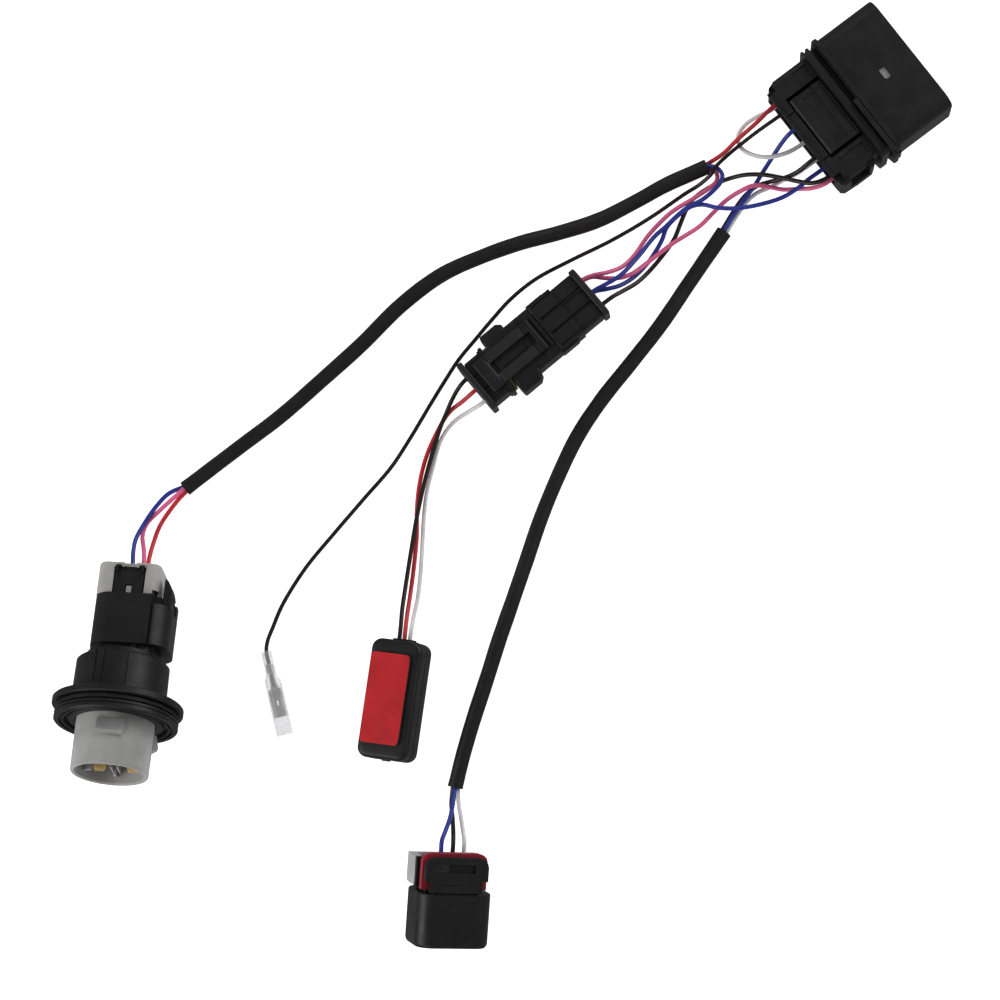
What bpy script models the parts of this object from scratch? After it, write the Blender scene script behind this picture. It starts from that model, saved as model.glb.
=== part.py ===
"""Plug-in adapter harness with a small control module, laid out on a flat surface.

Five connectors, a control module and a crimped lead are joined by insulated wires; two runs of wire pass
through black tubing. Every connector is drawn in its own frame: +Y is the mating direction, +Z is up and
the origin is on the connector's axis at its wire end. All drawing numbers are millimetres; meshes are metres.
"""

import math

import bmesh
import bpy
from mathutils import Matrix, Vector

MM = 0.001

# Wires and tubing
WIRE_DIAMETER = 1.8
THIN_WIRE_DIAMETER = 1.6
SLEEVE_DIAMETER = 6.2
SLEEVE_BORE = 5.2
BUNDLE_RADIUS = 1.2
FREE_SPACING = 5.2
SLEEVE_SPACING = 13.0

# Where each unit lies: x, y of its frame (mm), yaw, pitch and roll (degrees)
MAIN_PLACE = (118.2, 134.4, -53.2, 0.0, 0.0)
LAMP_PLACE = (-147.9, -36.0, 176.7, 15.5, 0.0)
INLINE_PLACE = (-12.9, 35.8, -50.2, 0.0, 0.0)
MODULE_PLACE = (-44.3, -87.2, -8.0, 0.0, -13.0)
TAIL_PLACE = (-21.0, -144.4, 179.0, -9.0, -22.5)
LEAD_PLACE = (-96.4, -67.3, -166.5, 0.0, 0.0)

# Main connector
MAIN_BLOCK = (48.0, 22.0, 2.5)
MAIN_PLUG_FLANGE = (53.0, 27.0, 4.0)
MAIN_NOSE = (45.0, 18.0, 3.0)
MAIN_FLANGE = (56.4, 31.0, 5.0)
MAIN_SHROUD = (53.2, 26.2, 7.0)
MAIN_MOUTH = (49.6, 22.6, 5.2)
MAIN_REAR = -1.5
MAIN_LENGTH = 51.5
MAIN_PINS = ((-15.0, 4.5), (-5.0, 4.5), (5.0, 4.5), (15.0, 4.5), (-10.0, -4.5), (0.0, -4.5), (10.0, -4.5))
MAIN_LATCH_AXIS = (16.0, 6.4)

# Lamp connector
LAMP_COLLAR = (31.2, 25.0, 8.0, -2.5, 0.0)
LAMP_NOSE_DIAMETER = 29.8
LAMP_BODY_DIAMETER = 36.6
LAMP_FLANGE_DIAMETER = 51.4
LAMP_LIP_DIAMETER = 48.6
LAMP_GROOVE_DIAMETER = 45.0
LAMP_SOCKET_DIAMETER = 30.8
LAMP_SOCKET_BORE = 27.0
LAMP_LENGTH = 84.0
LAMP_BLADES = ((4.6, -2.6), (-8.6, -2.6), (-2.0, 6.4))
LAMP_BLADE_WIDTH = 4.8
LAMP_BLADE_THICKNESS = 0.8
LAMP_LATCH_AXIS = (-15.4, 16.8)

# Inline connector
INLINE_PLATE = (23.0, 17.0, 3.0)
INLINE_PLUG_BODY = (20.0, 14.0, 2.5)
INLINE_NOSE = (15.6, 9.6, 2.5)
INLINE_COLLAR = (29.0, 15.4, 4.0)
INLINE_CAP_BODY = (22.6, 15.0, 3.0)
INLINE_LENGTH = 60.2
INLINE_PLUG_PITCH = 5.7
INLINE_CAP_PITCH = 6.2
INLINE_PIN_PITCH = 5.0
INLINE_LATCH_AXIS = (5.6, 8.4)

# Control module
MODULE_WIDTH = 21.0
MODULE_LENGTH = 47.0
MODULE_HALF_HEIGHT = 7.3
MODULE_CORNER = 4.0
TAPE_WIDTH = 16.2
TAPE_LENGTH = 35.6
TAPE_OFFSET = -1.2

# Tail connector
TAIL_SHELL = (29.4, 23.0, 6.0, -0.7, 0.0)
TAIL_MOUTH = (25.8, 19.0, 4.5, -0.7, 0.0)
TAIL_BODY = (22.0, 12.0, 2.5)
TAIL_TOWER = (16.0, 8.0, 2.0)
TAIL_LENGTH = 37.6
TAIL_LATCH_AXIS = (15.6, 9.8)

# Lead terminal
LEAD_LENGTH = 34.0
LEAD_COVER = (6.6, 5.0, 1.6)

COLOURS = {
    "black_plastic": ((0.012, 0.012, 0.013), 0.5, 0.0),
    "black_rubber": ((0.01, 0.01, 0.01), 0.7, 0.0),
    "grey_plastic": ((0.3, 0.3, 0.3), 0.45, 0.0),
    "light_grey_plastic": ((0.4, 0.39, 0.38), 0.45, 0.0),
    "red_plastic": ((0.33, 0.015, 0.03), 0.4, 0.0),
    "olive_seal": ((0.12, 0.11, 0.03), 0.6, 0.0),
    "tubing": ((0.012, 0.012, 0.012), 0.4, 0.0),
    "black_wire": ((0.014, 0.012, 0.012), 0.4, 0.0),
    "red_wire": ((0.5, 0.02, 0.03), 0.4, 0.0),
    "blue_wire": ((0.02, 0.03, 0.25), 0.4, 0.0),
    "pink_wire": ((0.7, 0.12, 0.25), 0.4, 0.0),
    "white_wire": ((0.7, 0.7, 0.7), 0.4, 0.0),
    "brass": ((0.75, 0.5, 0.2), 0.3, 1.0),
    "tin": ((0.6, 0.6, 0.6), 0.35, 1.0),
    "board_green": ((0.02, 0.12, 0.04), 0.5, 0.0),
    "foam": ((0.03, 0.03, 0.03), 0.9, 0.0),
    "red_liner": ((0.45, 0.02, 0.025), 0.35, 0.0),
    "clear_vinyl": ((0.8, 0.8, 0.8), 0.2, 0.0),
}

# Routes: x, y and height of the wire's middle, in the order they are followed
LAMP_SLEEVE_ROUTE = [
    (79.2, 125.9, 3.3), (72.2, 122.9, 3.3), (62.2, 118.4, 3.3), (52.2, 112.9, 3.3), (36.2, 104.9, 3.3),
    (20.2, 99.9, 3.3), (4.2, 95.9, 3.3), (-11.8, 90.4, 3.3), (-27.3, 83.4, 3.3), (-43.3, 71.4, 3.3),
    (-59.3, 55.4, 3.3), (-75.3, 40.9, 3.3), (-91.3, 26.9, 3.3), (-107.3, 14.9, 3.3), (-119.3, 5.9, 3.3),
    (-129.8, -2.1, 3.3),
]
TAIL_SLEEVE_ROUTE = [
    (85.7, 99.4, 3.3), (72.7, 80.4, 3.3), (60.2, 61.9, 3.3), (48.2, 46.4, 3.3), (36.7, 31.9, 3.3),
    (27.2, 17.4, 3.3), (19.7, 1.9, 3.3), (12.7, -15.1, 3.3), (7.2, -31.1, 3.3), (1.7, -47.1, 3.3),
    (-3.8, -63.1, 3.3), (-8.8, -79.1, 3.3), (-13.8, -94.6, 3.3), (-17.8, -108.6, 3.3), (-20.8, -121.1, 3.3),
]
RED_LAMP_START = [
    (108.5, 149.1, 15.8), (104.2, 145.8, 15.5), (99.2, 141.4, 13.2), (91.2, 135.4, 8.6), (85.2, 130.4, 5.2),
]
RED_LAMP_END = [
    (-133.3, -7.1, 1.8), (-139.8, -16.2, 1.1), (-142.2, -23.2, 2.2), (-143.3, -29.6, 5.1),
    (-143.7, -34.2, 6.8), (-143.9, -40.1, 8.5),
]
BLUE_LAMP_START = [
    (28.5, 70.3, 9.6), (34, 74.9, 9.6), (38.7, 77.5, 9.5), (44.7, 81.3, 8.7), (51.7, 89.4, 5.6),
    (58.2, 97.9, 3.6), (62.2, 101.4, 3.5), (66.6, 105.3, 5.0), (70.6, 108.5, 5.5), (77.2, 112.1, 5.3),
    (81.4, 115.5, 5.3), (84.5, 119.1, 5.3), (85.2, 122.1, 5.2), (82.8, 125.2, 4.9),
]
BLUE_LAMP_END = [
    (-136.3, -3.9, 3), (-141.3, -9.1, 3.2), (-145.3, -14.9, 3.3), (-148.8, -22.6, 6),
    (-149.1, -28.5, 9.4), (-148.8, -32.4, 11.2), (-149, -38.5, 13.1),
]
PINK_LAMP_START = [
    (24.5, 75.1, 9.6), (30, 79.7, 9.6), (34.2, 81.3, 9.7), (39.7, 82.5, 9.0), (45.2, 85.2, 6.2),
    (49.7, 89.9, 3.6), (55.7, 98.9, 1.4), (63.7, 106.9, 2.4), (68.2, 109.9, 3.1), (72.2, 112.2, 3.1),
    (76.2, 114.7, 3.1), (80.2, 117.4, 3.1), (82.8, 119.9, 3.1), (83.2, 122.3, 3.1), (82, 124.2, 2.9),
]
PINK_LAMP_END = [
    (-134.8, -6.3, 3.6), (-140.3, -10.9, 2.2), (-145.3, -15.7, 1.2), (-146.8, -20.5, 2.3),
    (-145.6, -25.8, 6), (-144.5, -30.5, 10.1), (-144.4, -33.7, 11.8), (-144.5, -38.7, 13.3),
]
BLUE_TAIL_START = [
    (116, 139, 15.8), (111.8, 135.9, 15.2), (108.2, 132.4, 11.0), (104.7, 127.9, 6.8), (101.2, 122.9, 4.6),
    (97.7, 117.4, 3.6), (94.2, 112.9, 3.1), (90.7, 107.9, 3.2),
]
BLUE_TAIL_END = [
    (-21.2, -126.4, 7.2), (-21.9, -133.2, 13.4), (-23.2, -138.2, 18.0), (-24.4, -142.1, 20.1),
    (-24.7, -146.1, 19.5), (-24.9, -149.5, 19.0),
]
BLACK_TAIL_START = [
    (124.3, 127.9, 15.8), (120, 124.7, 15.2), (114.7, 121.4, 11.0),
    (109.2, 119.9, 6.8), (103.2, 119.1, 3.4),
    (99.2, 118.3, 1.4), (96.2, 116.3, 1.0), (93.2, 113.3, 1.0), (89.7, 108.3, 1.1),
]
BLACK_TAIL_END = [
    (-22.4, -127.1, 2.6), (-21.5, -132.4, 7.1), (-20.6, -137.1, 13.6), (-20.1, -142.2, 18.3),
    (-20.4, -146.2, 17.7), (-20.7, -149.6, 17.2),
]
WHITE_TAIL_START = [
    (124.3, 127.9, 10.8), (120, 124.7, 10.4), (114.7, 121.7, 7.2), (109.2, 119.7, 3.6), (103.7, 117.3, 1.4),
    (99.2, 115.5, 1.0), (95.1, 112.1, 1.0), (91.5, 107.2, 1.1),
]
WHITE_TAIL_END = [
    (-19.5, -127.1, 3), (-18.2, -132.4, 7.1), (-16.9, -137.4, 12.4), (-15.9, -142.3, 16.6),
    (-16.2, -146.2, 16.0), (-16.4, -149.7, 15.5),
]
TRIGGER_ROUTE = [
    (111.2, 145.4, 15.8), (106.6, 142.2, 15.4), (100.2, 138.4, 12.6), (92.7, 133.4, 9.4),
    (87.2, 129.2, 8), (82.4, 124.7, 7.2), (80.8, 122.1, 6.4), (78.2, 120.1, 4.4), (75.2, 118.3, 2),
    (70.7, 115.8, 1), (56.2, 105.9, 1), (40.7, 96.9, 1), (24.2, 88.9, 1), (10.4, 81.6, 1),
    (0.6, 73.8, 1), (-6.7, 65.8, 1), (-13.4, 57.8, 1), (-20.3, 49.4, 1), (-26, 40.6, 1),
    (-31.6, 31.4, 1), (-39.7, 17.7, 1), (-47.2, 6.2, 1), (-57.8, -6.1, 1), (-69.8, -20.1, 1),
    (-81.3, -34.1, 1), (-90.3, -48.6, 1), (-93.8, -57.1, 1.4), (-96, -63.5, 2.4), (-96.3, -67.5, 2.7),
    (-95.2, -72.2, 2.7),
]
JUMPER_ROUTE = [
    (108.2, 149.4, 10.8), (103.8, 146.2, 10.6), (99.2, 144.5, 9.4), (94.2, 141.5, 7.4), (91.5, 137.4, 6.2),
    (92.5, 132.9, 6.2), (97.2, 129.4, 7.8), (103.2, 127.9, 9.8), (109.7, 128.9, 10.9), (114.8, 131.3, 10.9),
    (119.3, 134.6, 10.8),
]
BLACK_FEED_ROUTE = [
    (129.9, 120.4, 15.8), (125.4, 117.3, 15.7), (120.7, 116.1, 14.6), (115.2, 117.4, 12.0),
    (109.2, 119.4, 9.6), (101.2, 121.4, 7.4), (94.2, 121.9, 5.2), (89.2, 121.4, 2.8), (85.2, 120.5, 1.0),
    (80.4, 118.2, 1.0), (75.8, 115.3, 1.0), (72.4, 112.1, 1.0), (70.2, 107.9, 1.0), (68.2, 102.9, 1.0),
    (65.7, 96.9, 1.0), (60.7, 89.9, 1.0), (55.2, 83.4, 1.6), (50.7, 78.9, 3.8), (45.2, 75.2, 6.4),
    (41.7, 72.9, 8.1), (38.4, 70.4, 8.5), (32.5, 65.5, 8.5),
]
PINK_FEED_ROUTE = [
    (130.1, 120.1, 10.8), (125.8, 116.7, 10.4), (120.7, 115.5, 8.0), (115.2, 115.8, 5.6),
    (109.2, 115.9, 4.4), (103.2, 116.9, 5.4), (97.7, 117.4, 5.9), (92.2, 115.4, 4.6), (86.7, 112.4, 2.2),
    (82.7, 108.9, 1.0), (76.2, 102.4, 1.0), (69.7, 97.9, 2.2), (65.2, 94.9, 3.1), (59.2, 90.4, 3.2),
    (54.7, 86.9, 3.4), (49.2, 82.6, 5.0), (44.2, 80.7, 6.2), (38.2, 80.5, 7.3), (33.6, 81, 7.5),
    (30, 79.7, 7.5), (24.5, 75.1, 7.5),
]
BLUE_FEED_ROUTE = [
    (127.1, 124.1, 10.8), (122.8, 121.1, 10.4), (119.2, 118.7, 9.6), (115.2, 115.7, 8.2),
    (109.2, 112.4, 6.4), (100.7, 109.9, 5.6), (91.2, 108.4, 5.4), (83.2, 108.9, 4.6), (77.2, 110.5, 3.4),
    (73, 109.9, 3.3), (69.7, 108, 3.3), (66, 105.1, 2.4), (62.8, 101.7, 1.2), (61, 96.9, 1.0),
    (58.2, 91.9, 1.0), (54.7, 86.9, 1.2), (49.7, 81.6, 2.6), (44.2, 77.7, 5.6), (39.2, 76.1, 7.2),
    (34, 74.9, 7.5), (28.5, 70.3, 7.5),
]
MODULE_BLACK_ROUTE = [
    (-12.3, 43.7, 8.5), (-17.7, 39.2, 8.4), (-20.8, 35.4, 6.6), (-23.4, 30.7, 5.0), (-25.4, 26.4, 3.6),
    (-27.3, 21.9, 3.2), (-30.8, 10.4, 3.1), (-33.8, -1.1, 3.1), (-36.3, -12.6, 3.1), (-38.8, -27.6, 3.1),
    (-40.8, -41.6, 4.0), (-41.8, -51.1, 6.6), (-42.2, -59.1, 8.8), (-43, -66.8, 8.8),
]
MODULE_RED_ROUTE = [
    (-8.7, 39.3, 8.5), (-14.1, 34.8, 8.4), (-18.3, 31.9, 5.0), (-22.8, 29.1, 2.0), (-25.3, 26.5, 1.0),
    (-29.3, 19.4, 1.0), (-33.3, 9.9, 1.0), (-35.8, -0.6, 1.0), (-36.8, -10.6, 1.0), (-36.8, -21.1, 1.0),
    (-37.8, -33.1, 1.0), (-39.1, -45.1, 2.6), (-39.8, -53.1, 6.6), (-40.2, -59.5, 9.2), (-40.9, -67.1, 9.3),
]
MODULE_WHITE_ROUTE = [
    (-5, 34.9, 8.5), (-10.4, 30.4, 8.4), (-15.8, 27.7, 5.0), (-22.3, 23.9, 1.6), (-27.3, 16.9, 1.0),
    (-30.6, 5.4, 1.0), (-33, -5.1, 1.0), (-34, -15.1, 1.0), (-34.6, -26.6, 1.0), (-35.2, -37.1, 1.2),
    (-36.2, -47.1, 2.8), (-37.2, -54.1, 7.0), (-37.9, -60.1, 9.8), (-38.8, -67.4, 9.8),
]


# ---------------------------------------------------------------- helpers

def clear_objects():
    for item in list(bpy.data.objects):
        bpy.data.objects.remove(item, do_unlink=True)


def finish(name):
    """A plain Principled material by its name in COLOURS."""
    known = bpy.data.materials.get(name)
    if known:
        return known
    colour, roughness, metallic = COLOURS[name]
    material = bpy.data.materials.new(name)
    material.use_nodes = True
    shader = material.node_tree.nodes["Principled BSDF"]
    shader.inputs["Base Color"].default_value = (*colour, 1.0)
    shader.inputs["Roughness"].default_value = roughness
    shader.inputs["Metallic"].default_value = metallic
    return material


def frame_empty(name, place, height=0.0):
    """An empty that carries one unit's frame."""
    x, y, yaw, pitch, roll = place
    empty = bpy.data.objects.new(name, None)
    empty.location = (x * MM, y * MM, height * MM)
    empty.rotation_euler = [math.radians(angle) for angle in (pitch, roll, yaw)]
    bpy.context.scene.collection.objects.link(empty)
    return empty


def pivot_empty(name, parent, at):
    """An empty on a hinge's axis, at a point of its unit's frame."""
    empty = bpy.data.objects.new(name, None)
    empty.location = Vector(at) * MM
    empty.parent = parent
    bpy.context.scene.collection.objects.link(empty)
    return empty


def solid(name, mesh_builder, parent, material=None, pivot=None):
    """A named object from a filled bmesh drawn in millimetres in the parent's frame."""
    bmesh.ops.recalc_face_normals(mesh_builder, faces=mesh_builder.faces)
    bmesh.ops.scale(mesh_builder, vec=(MM, MM, MM), verts=mesh_builder.verts)
    if pivot:
        bmesh.ops.translate(mesh_builder, vec=-pivot.location, verts=mesh_builder.verts)
    mesh = bpy.data.meshes.new(name)
    mesh_builder.to_mesh(mesh)
    mesh_builder.free()
    item = bpy.data.objects.new(name, mesh)
    item.parent = pivot or parent
    bpy.context.scene.collection.objects.link(item)
    if material:
        mesh.materials.append(finish(material))
        mesh.shade_smooth()
        mesh.set_sharp_from_angle(angle=math.radians(35))
    return item


def guide(item):
    """Marks a cutter or a welded-on piece, which is not an object of its own."""
    item.hide_render = True
    item.display_type = "WIRE"
    return item


def combine(target, piece, operation):
    """Cuts a piece out of the target, or joins it to the target."""
    modifier = target.modifiers.new(operation.title(), "BOOLEAN")
    modifier.operation = operation
    modifier.object = guide(piece)


def corner_points(width, height, radius, steps):
    """A rounded rectangle round the origin, anticlockwise; radius 0 with steps 0 is a plain rectangle."""
    points = []
    for index, (side_x, side_y) in enumerate(((1, 1), (-1, 1), (-1, -1), (1, -1))):
        centre_x = side_x * (width / 2 - radius)
        centre_y = side_y * (height / 2 - radius)
        for step in range(steps + 1):
            angle = math.pi / 2 * (index + (step / steps if steps else 0.5))
            points.append((centre_x + radius * math.cos(angle), centre_y + radius * math.sin(angle)))
    return points


def loft(rings, steps=2, along="Y", closed=False):
    """A solid through rounded rectangles: each ring is level, width, height, radius[, centre a, centre b].

    Along Y a ring's width runs in X and its height in Z; along Z they run in X and Y.
    """
    builder = bmesh.new()
    loops = []
    for level, width, height, radius, *centre in rings:
        shift_a, shift_b = centre or (0.0, 0.0)
        loop = []
        for a, b in corner_points(width, height, radius, steps):
            spot = (a + shift_a, level, b + shift_b) if along == "Y" else (a + shift_a, b + shift_b, level)
            loop.append(builder.verts.new(spot))
        loops.append(loop)
    pairs = list(zip(loops, loops[1:]))
    if closed:
        pairs.append((loops[-1], loops[0]))
    else:
        builder.faces.new(loops[0])
        builder.faces.new(loops[-1])
    for near, far in pairs:
        for index, corner in enumerate(near):
            after = (index + 1) % len(near)
            builder.faces.new((corner, near[after], far[after], far[index]))
    return builder


def disc(level, diameter, a=0.0, b=0.0):
    """A round ring for loft."""
    return (level, diameter, diameter, diameter / 2, a, b)


def prism(outline, low, high, along="Z"):
    """An outline drawn in XY, XZ or YZ and pulled along the remaining axis."""
    builder = bmesh.new()
    order = {"Z": lambda a, b, c: (a, b, c), "Y": lambda a, b, c: (a, c, b), "X": lambda a, b, c: (c, a, b)}
    put = order[along]
    near = [builder.verts.new(put(a, b, low)) for a, b in outline]
    far = [builder.verts.new(put(a, b, high)) for a, b in outline]
    builder.faces.new(near)
    builder.faces.new(far)
    for index, corner in enumerate(near):
        after = (index + 1) % len(near)
        builder.faces.new((corner, near[after], far[after], far[index]))
    return builder


def boxes(spans):
    """Separate boxes in one mesh, each given as x, y and z spans."""
    builder = bmesh.new()
    for x0, x1, y0, y1, z0, z1 in spans:
        made = bmesh.ops.create_cube(builder, size=1.0)["verts"]
        bmesh.ops.scale(builder, vec=(x1 - x0, y1 - y0, z1 - z0), verts=made)
        bmesh.ops.translate(builder, vec=((x0 + x1) / 2, (y0 + y1) / 2, (z0 + z1) / 2), verts=made)
    return builder


def drills(centres, diameter, low, high, sides=10):
    """Round cutters along Y at the given x, z centres."""
    builder = bmesh.new()
    for x, z in centres:
        made = bmesh.ops.create_cone(
            builder, cap_ends=True, segments=sides,
            radius1=diameter / 2, radius2=diameter / 2, depth=high - low
        )["verts"]
        bmesh.ops.rotate(builder, cent=(0, 0, 0), matrix=Matrix.Rotation(math.pi / 2, 3, "X"), verts=made)
        bmesh.ops.translate(builder, vec=(x, (low + high) / 2, z), verts=made)
    return builder


def cut(target, builder, frame, pivot=None):
    combine(target, solid(target.name + "_cutter", builder, frame, pivot=pivot), "DIFFERENCE")


def weld(target, builder, frame, pivot=None):
    combine(target, solid(target.name + "_addition", builder, frame, pivot=pivot), "UNION")


def rest_on_floor(frame):
    """Lifts a unit's frame until the lowest corner of its pieces is on the surface."""
    bpy.context.view_layer.update()
    lowest = min(
        (item.matrix_world @ vertex.co).z
        for item in frame.children_recursive
        if item.type == "MESH" and not item.hide_render
        for vertex in item.data.vertices
    )
    frame.location.z -= lowest


# ---------------------------------------------------------------- wires

def smooth(points, step):
    """Points evenly spaced, about step apart, along a centripetal curve through the route's own points."""
    route = [Vector(point) for point in points]
    route = [2 * route[0] - route[1], *route, 2 * route[-1] - route[-2]]
    fine = []
    for a, b, c, d in zip(route, route[1:], route[2:], route[3:]):
        times = [0.0]
        for start, end in ((a, b), (b, c), (c, d)):
            times.append(times[-1] + math.sqrt((end - start).length))
        for part in range(24):
            time = times[1] + (times[2] - times[1]) * part / 24
            ab = a.lerp(b, (time - times[0]) / (times[1] - times[0]))
            bc = b.lerp(c, (time - times[1]) / (times[2] - times[1]))
            cd = c.lerp(d, (time - times[2]) / (times[3] - times[2]))
            abc = ab.lerp(bc, (time - times[0]) / (times[2] - times[0]))
            bcd = bc.lerp(cd, (time - times[1]) / (times[3] - times[1]))
            fine.append(abc.lerp(bcd, (time - times[1]) / (times[2] - times[1])))
    fine.append(route[-2])
    reach = [0.0]
    for start, end in zip(fine, fine[1:]):
        reach.append(reach[-1] + (end - start).length)
    count = max(2, round(reach[-1] / step))
    even = []
    index = 0
    for part in range(count + 1):
        want = reach[-1] * part / count
        while index < len(reach) - 2 and reach[index + 1] < want:
            index += 1
        share = (want - reach[index]) / (reach[index + 1] - reach[index])
        even.append(fine[index].lerp(fine[index + 1], min(max(share, 0.0), 1.0)))
    return even


def beside(stations, first_angle, last_angle):
    """A bundled wire's own line: it keeps BUNDLE_RADIUS from the tubing's middle and turns round it."""
    line = []
    last = len(stations) - 1
    for index, station in enumerate(stations):
        along = stations[min(index + 1, last)] - stations[max(index - 1, 0)]
        left = Vector((-along.y, along.x, 0.0)).normalized()
        angle = math.radians(first_angle + (last_angle - first_angle) * index / last)
        line.append(station + BUNDLE_RADIUS * (math.cos(angle) * left + math.sin(angle) * Vector((0, 0, 1))))
    return line


def bundled(start, stations, end):
    """One wire's whole line: its free start, its way through the tubing and its free end."""
    before = smooth([*start, stations[0]], FREE_SPACING)[:-1]
    after = smooth([stations[-1], *end], FREE_SPACING)[1:]
    return before + stations + after


def cord(name, line, diameter, material, bore=0.0):
    """A wire as a bevelled curve that lies on the surface or above it; with a bore it is open tubing."""
    data = bpy.data.curves.new(name, "CURVE")
    data.dimensions = "3D"
    spline = data.splines.new("POLY")
    spline.points.add(len(line) - 1)
    for point, spot in zip(spline.points, line):
        height = max(spot[2], diameter / 2)
        point.co = (spot[0] * MM, spot[1] * MM, height * MM, 1.0)
    data.bevel_depth = diameter / 2 * MM
    data.bevel_resolution = 4 if bore else 2
    data.use_fill_caps = not bore
    data.materials.append(finish(material))
    item = bpy.data.objects.new(name, data)
    bpy.context.scene.collection.objects.link(item)
    if bore:
        wall = item.modifiers.new("Wall", "SOLIDIFY")
        wall.thickness = (diameter - bore) / 2 * MM
        wall.offset = -1.0
    return item


def wires():
    lamp_line = smooth(LAMP_SLEEVE_ROUTE, SLEEVE_SPACING)
    tail_line = smooth(TAIL_SLEEVE_ROUTE, SLEEVE_SPACING)
    cord("lamp_sleeve", lamp_line, SLEEVE_DIAMETER, "tubing", SLEEVE_BORE)
    cord("tail_sleeve", tail_line, SLEEVE_DIAMETER, "tubing", SLEEVE_BORE)
    bundles = [
        ("red_lamp_wire", RED_LAMP_START, lamp_line, 210, 330, RED_LAMP_END, "red_wire"),
        ("blue_lamp_wire", BLUE_LAMP_START, lamp_line, 90, 210, BLUE_LAMP_END, "blue_wire"),
        ("pink_lamp_wire", PINK_LAMP_START, lamp_line, 330, 450, PINK_LAMP_END, "pink_wire"),
        ("blue_tail_wire", BLUE_TAIL_START, tail_line, 90, 90, BLUE_TAIL_END, "blue_wire"),
        ("black_tail_wire", BLACK_TAIL_START, tail_line, 210, 210, BLACK_TAIL_END, "black_wire"),
        ("white_tail_wire", WHITE_TAIL_START, tail_line, 330, 330, WHITE_TAIL_END, "white_wire"),
    ]
    for name, start, line, first, last, end, material in bundles:
        cord(name, bundled(start, beside(line, first, last), end), WIRE_DIAMETER, material)
    singles = [
        ("black_trigger_wire", TRIGGER_ROUTE, THIN_WIRE_DIAMETER, "black_wire"),
        ("white_jumper_wire", JUMPER_ROUTE, WIRE_DIAMETER, "white_wire"),
        ("black_feed_wire", BLACK_FEED_ROUTE, WIRE_DIAMETER, "black_wire"),
        ("pink_feed_wire", PINK_FEED_ROUTE, WIRE_DIAMETER, "pink_wire"),
        ("blue_feed_wire", BLUE_FEED_ROUTE, WIRE_DIAMETER, "blue_wire"),
        ("module_black_wire", MODULE_BLACK_ROUTE, WIRE_DIAMETER, "black_wire"),
        ("module_red_wire", MODULE_RED_ROUTE, WIRE_DIAMETER, "red_wire"),
        ("module_white_wire", MODULE_WHITE_ROUTE, WIRE_DIAMETER, "white_wire"),
    ]
    for name, route, diameter, material in singles:
        cord(name, smooth(route, FREE_SPACING), diameter, material)


# ---------------------------------------------------------------- main connector

def main_pin_slots():
    """Passages for the seven pins, 0.3 mm clear all round."""
    return boxes([(x - 1.3, x + 1.3, 25.4, 43.8, z - 0.9, z + 0.9) for x, z in MAIN_PINS])


def main_connector():
    frame = frame_empty("main_frame", MAIN_PLACE, MAIN_FLANGE[1] / 2)
    recess = (43.0, 12.0, 2.0, 0.0, -2.5)
    housing = solid("main_plug_housing", loft([
        (3.2, *recess), (MAIN_REAR, *recess), (MAIN_REAR, *MAIN_BLOCK), (18.3, *MAIN_BLOCK),
        (18.3, *MAIN_PLUG_FLANGE), (20.2, *MAIN_PLUG_FLANGE), (20.2, *MAIN_NOSE), (34.0, *MAIN_NOSE),
    ]), frame, "black_plastic")
    cut(housing, boxes([
        (-14.8, 14.8, 1.0, 17.8, 5.0, 16.0), (-26.0, -23.2, 4.0, 16.0, -6.0, 6.0),
        (23.2, 26.0, 4.0, 16.0, -6.0, 6.0),
    ]), frame)
    cut(housing, main_pin_slots(), frame)
    solid("main_wire_seal", loft([
        (1.3, 42.4, 11.4, 1.7, 0.0, -2.5), (2.9, 42.4, 11.4, 1.7, 0.0, -2.5),
    ]), frame, "black_rubber")
    main_latch(frame)
    main_adapter(frame)


def main_latch(frame):
    hinge_y, hinge_z = MAIN_LATCH_AXIS
    pivot = pivot_empty("main_latch_pivot", frame, (0, hinge_y, hinge_z))
    profile = [
        (1.6, 8.6), (15.0, 8.6), (15.0, 5.4), (16.8, 5.4), (17.3, 10.6),
        (16.7, 11.3), (2.4, 11.3), (1.6, 10.5),
    ]
    latch = solid("main_plug_latch", prism(profile, -13.2, 13.2, "X"), frame, "black_plastic", pivot)
    cut(latch, boxes([(-11.6, 11.6, 8.4, 14.8, 10.6, 13.0)]), frame, pivot)


def main_adapter(frame):
    socket = (46.2, 19.2, 3.4)
    shell = solid("main_adapter_shell", loft([
        (34.8, *socket), (22.6, *socket), (22.6, *MAIN_FLANGE), (24.8, *MAIN_FLANGE), (24.8, *MAIN_SHROUD),
        (MAIN_LENGTH, *MAIN_SHROUD), (MAIN_LENGTH, *MAIN_MOUTH), (37.2, *MAIN_MOUTH),
    ]), frame, "black_plastic")
    cut(shell, main_pin_slots(), frame)
    cut(shell, boxes([(-2.0, 3.2, 36.4, 39.5, 9.0, 16.0)]), frame)
    ring = (45.8, 18.8, 3.2)
    outer = (51.0, 24.0, 5.0)
    solid("main_adapter_gasket", loft([
        (20.6, *ring), (22.2, *ring), (22.2, *outer), (20.6, *outer),
    ], closed=True), frame, "black_rubber")
    retainer = solid("main_adapter_retainer", loft([
        (37.6, 48.8, 21.8, 4.8), (43.2, 48.8, 21.8, 4.8),
    ]), frame, "light_grey_plastic")
    cut(retainer, main_pin_slots(), frame)
    for number, (x, z) in enumerate(MAIN_PINS, 1):
        solid(f"main_pin_{number}", loft([
            (26.0, 1.2, 0.6, 0.0, x, z), (26.8, 2.0, 1.2, 0.0, x, z), (46.6, 2.0, 1.2, 0.0, x, z),
            (47.6, 1.2, 0.6, 0.0, x, z),
        ], steps=0), frame, "tin")


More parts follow.
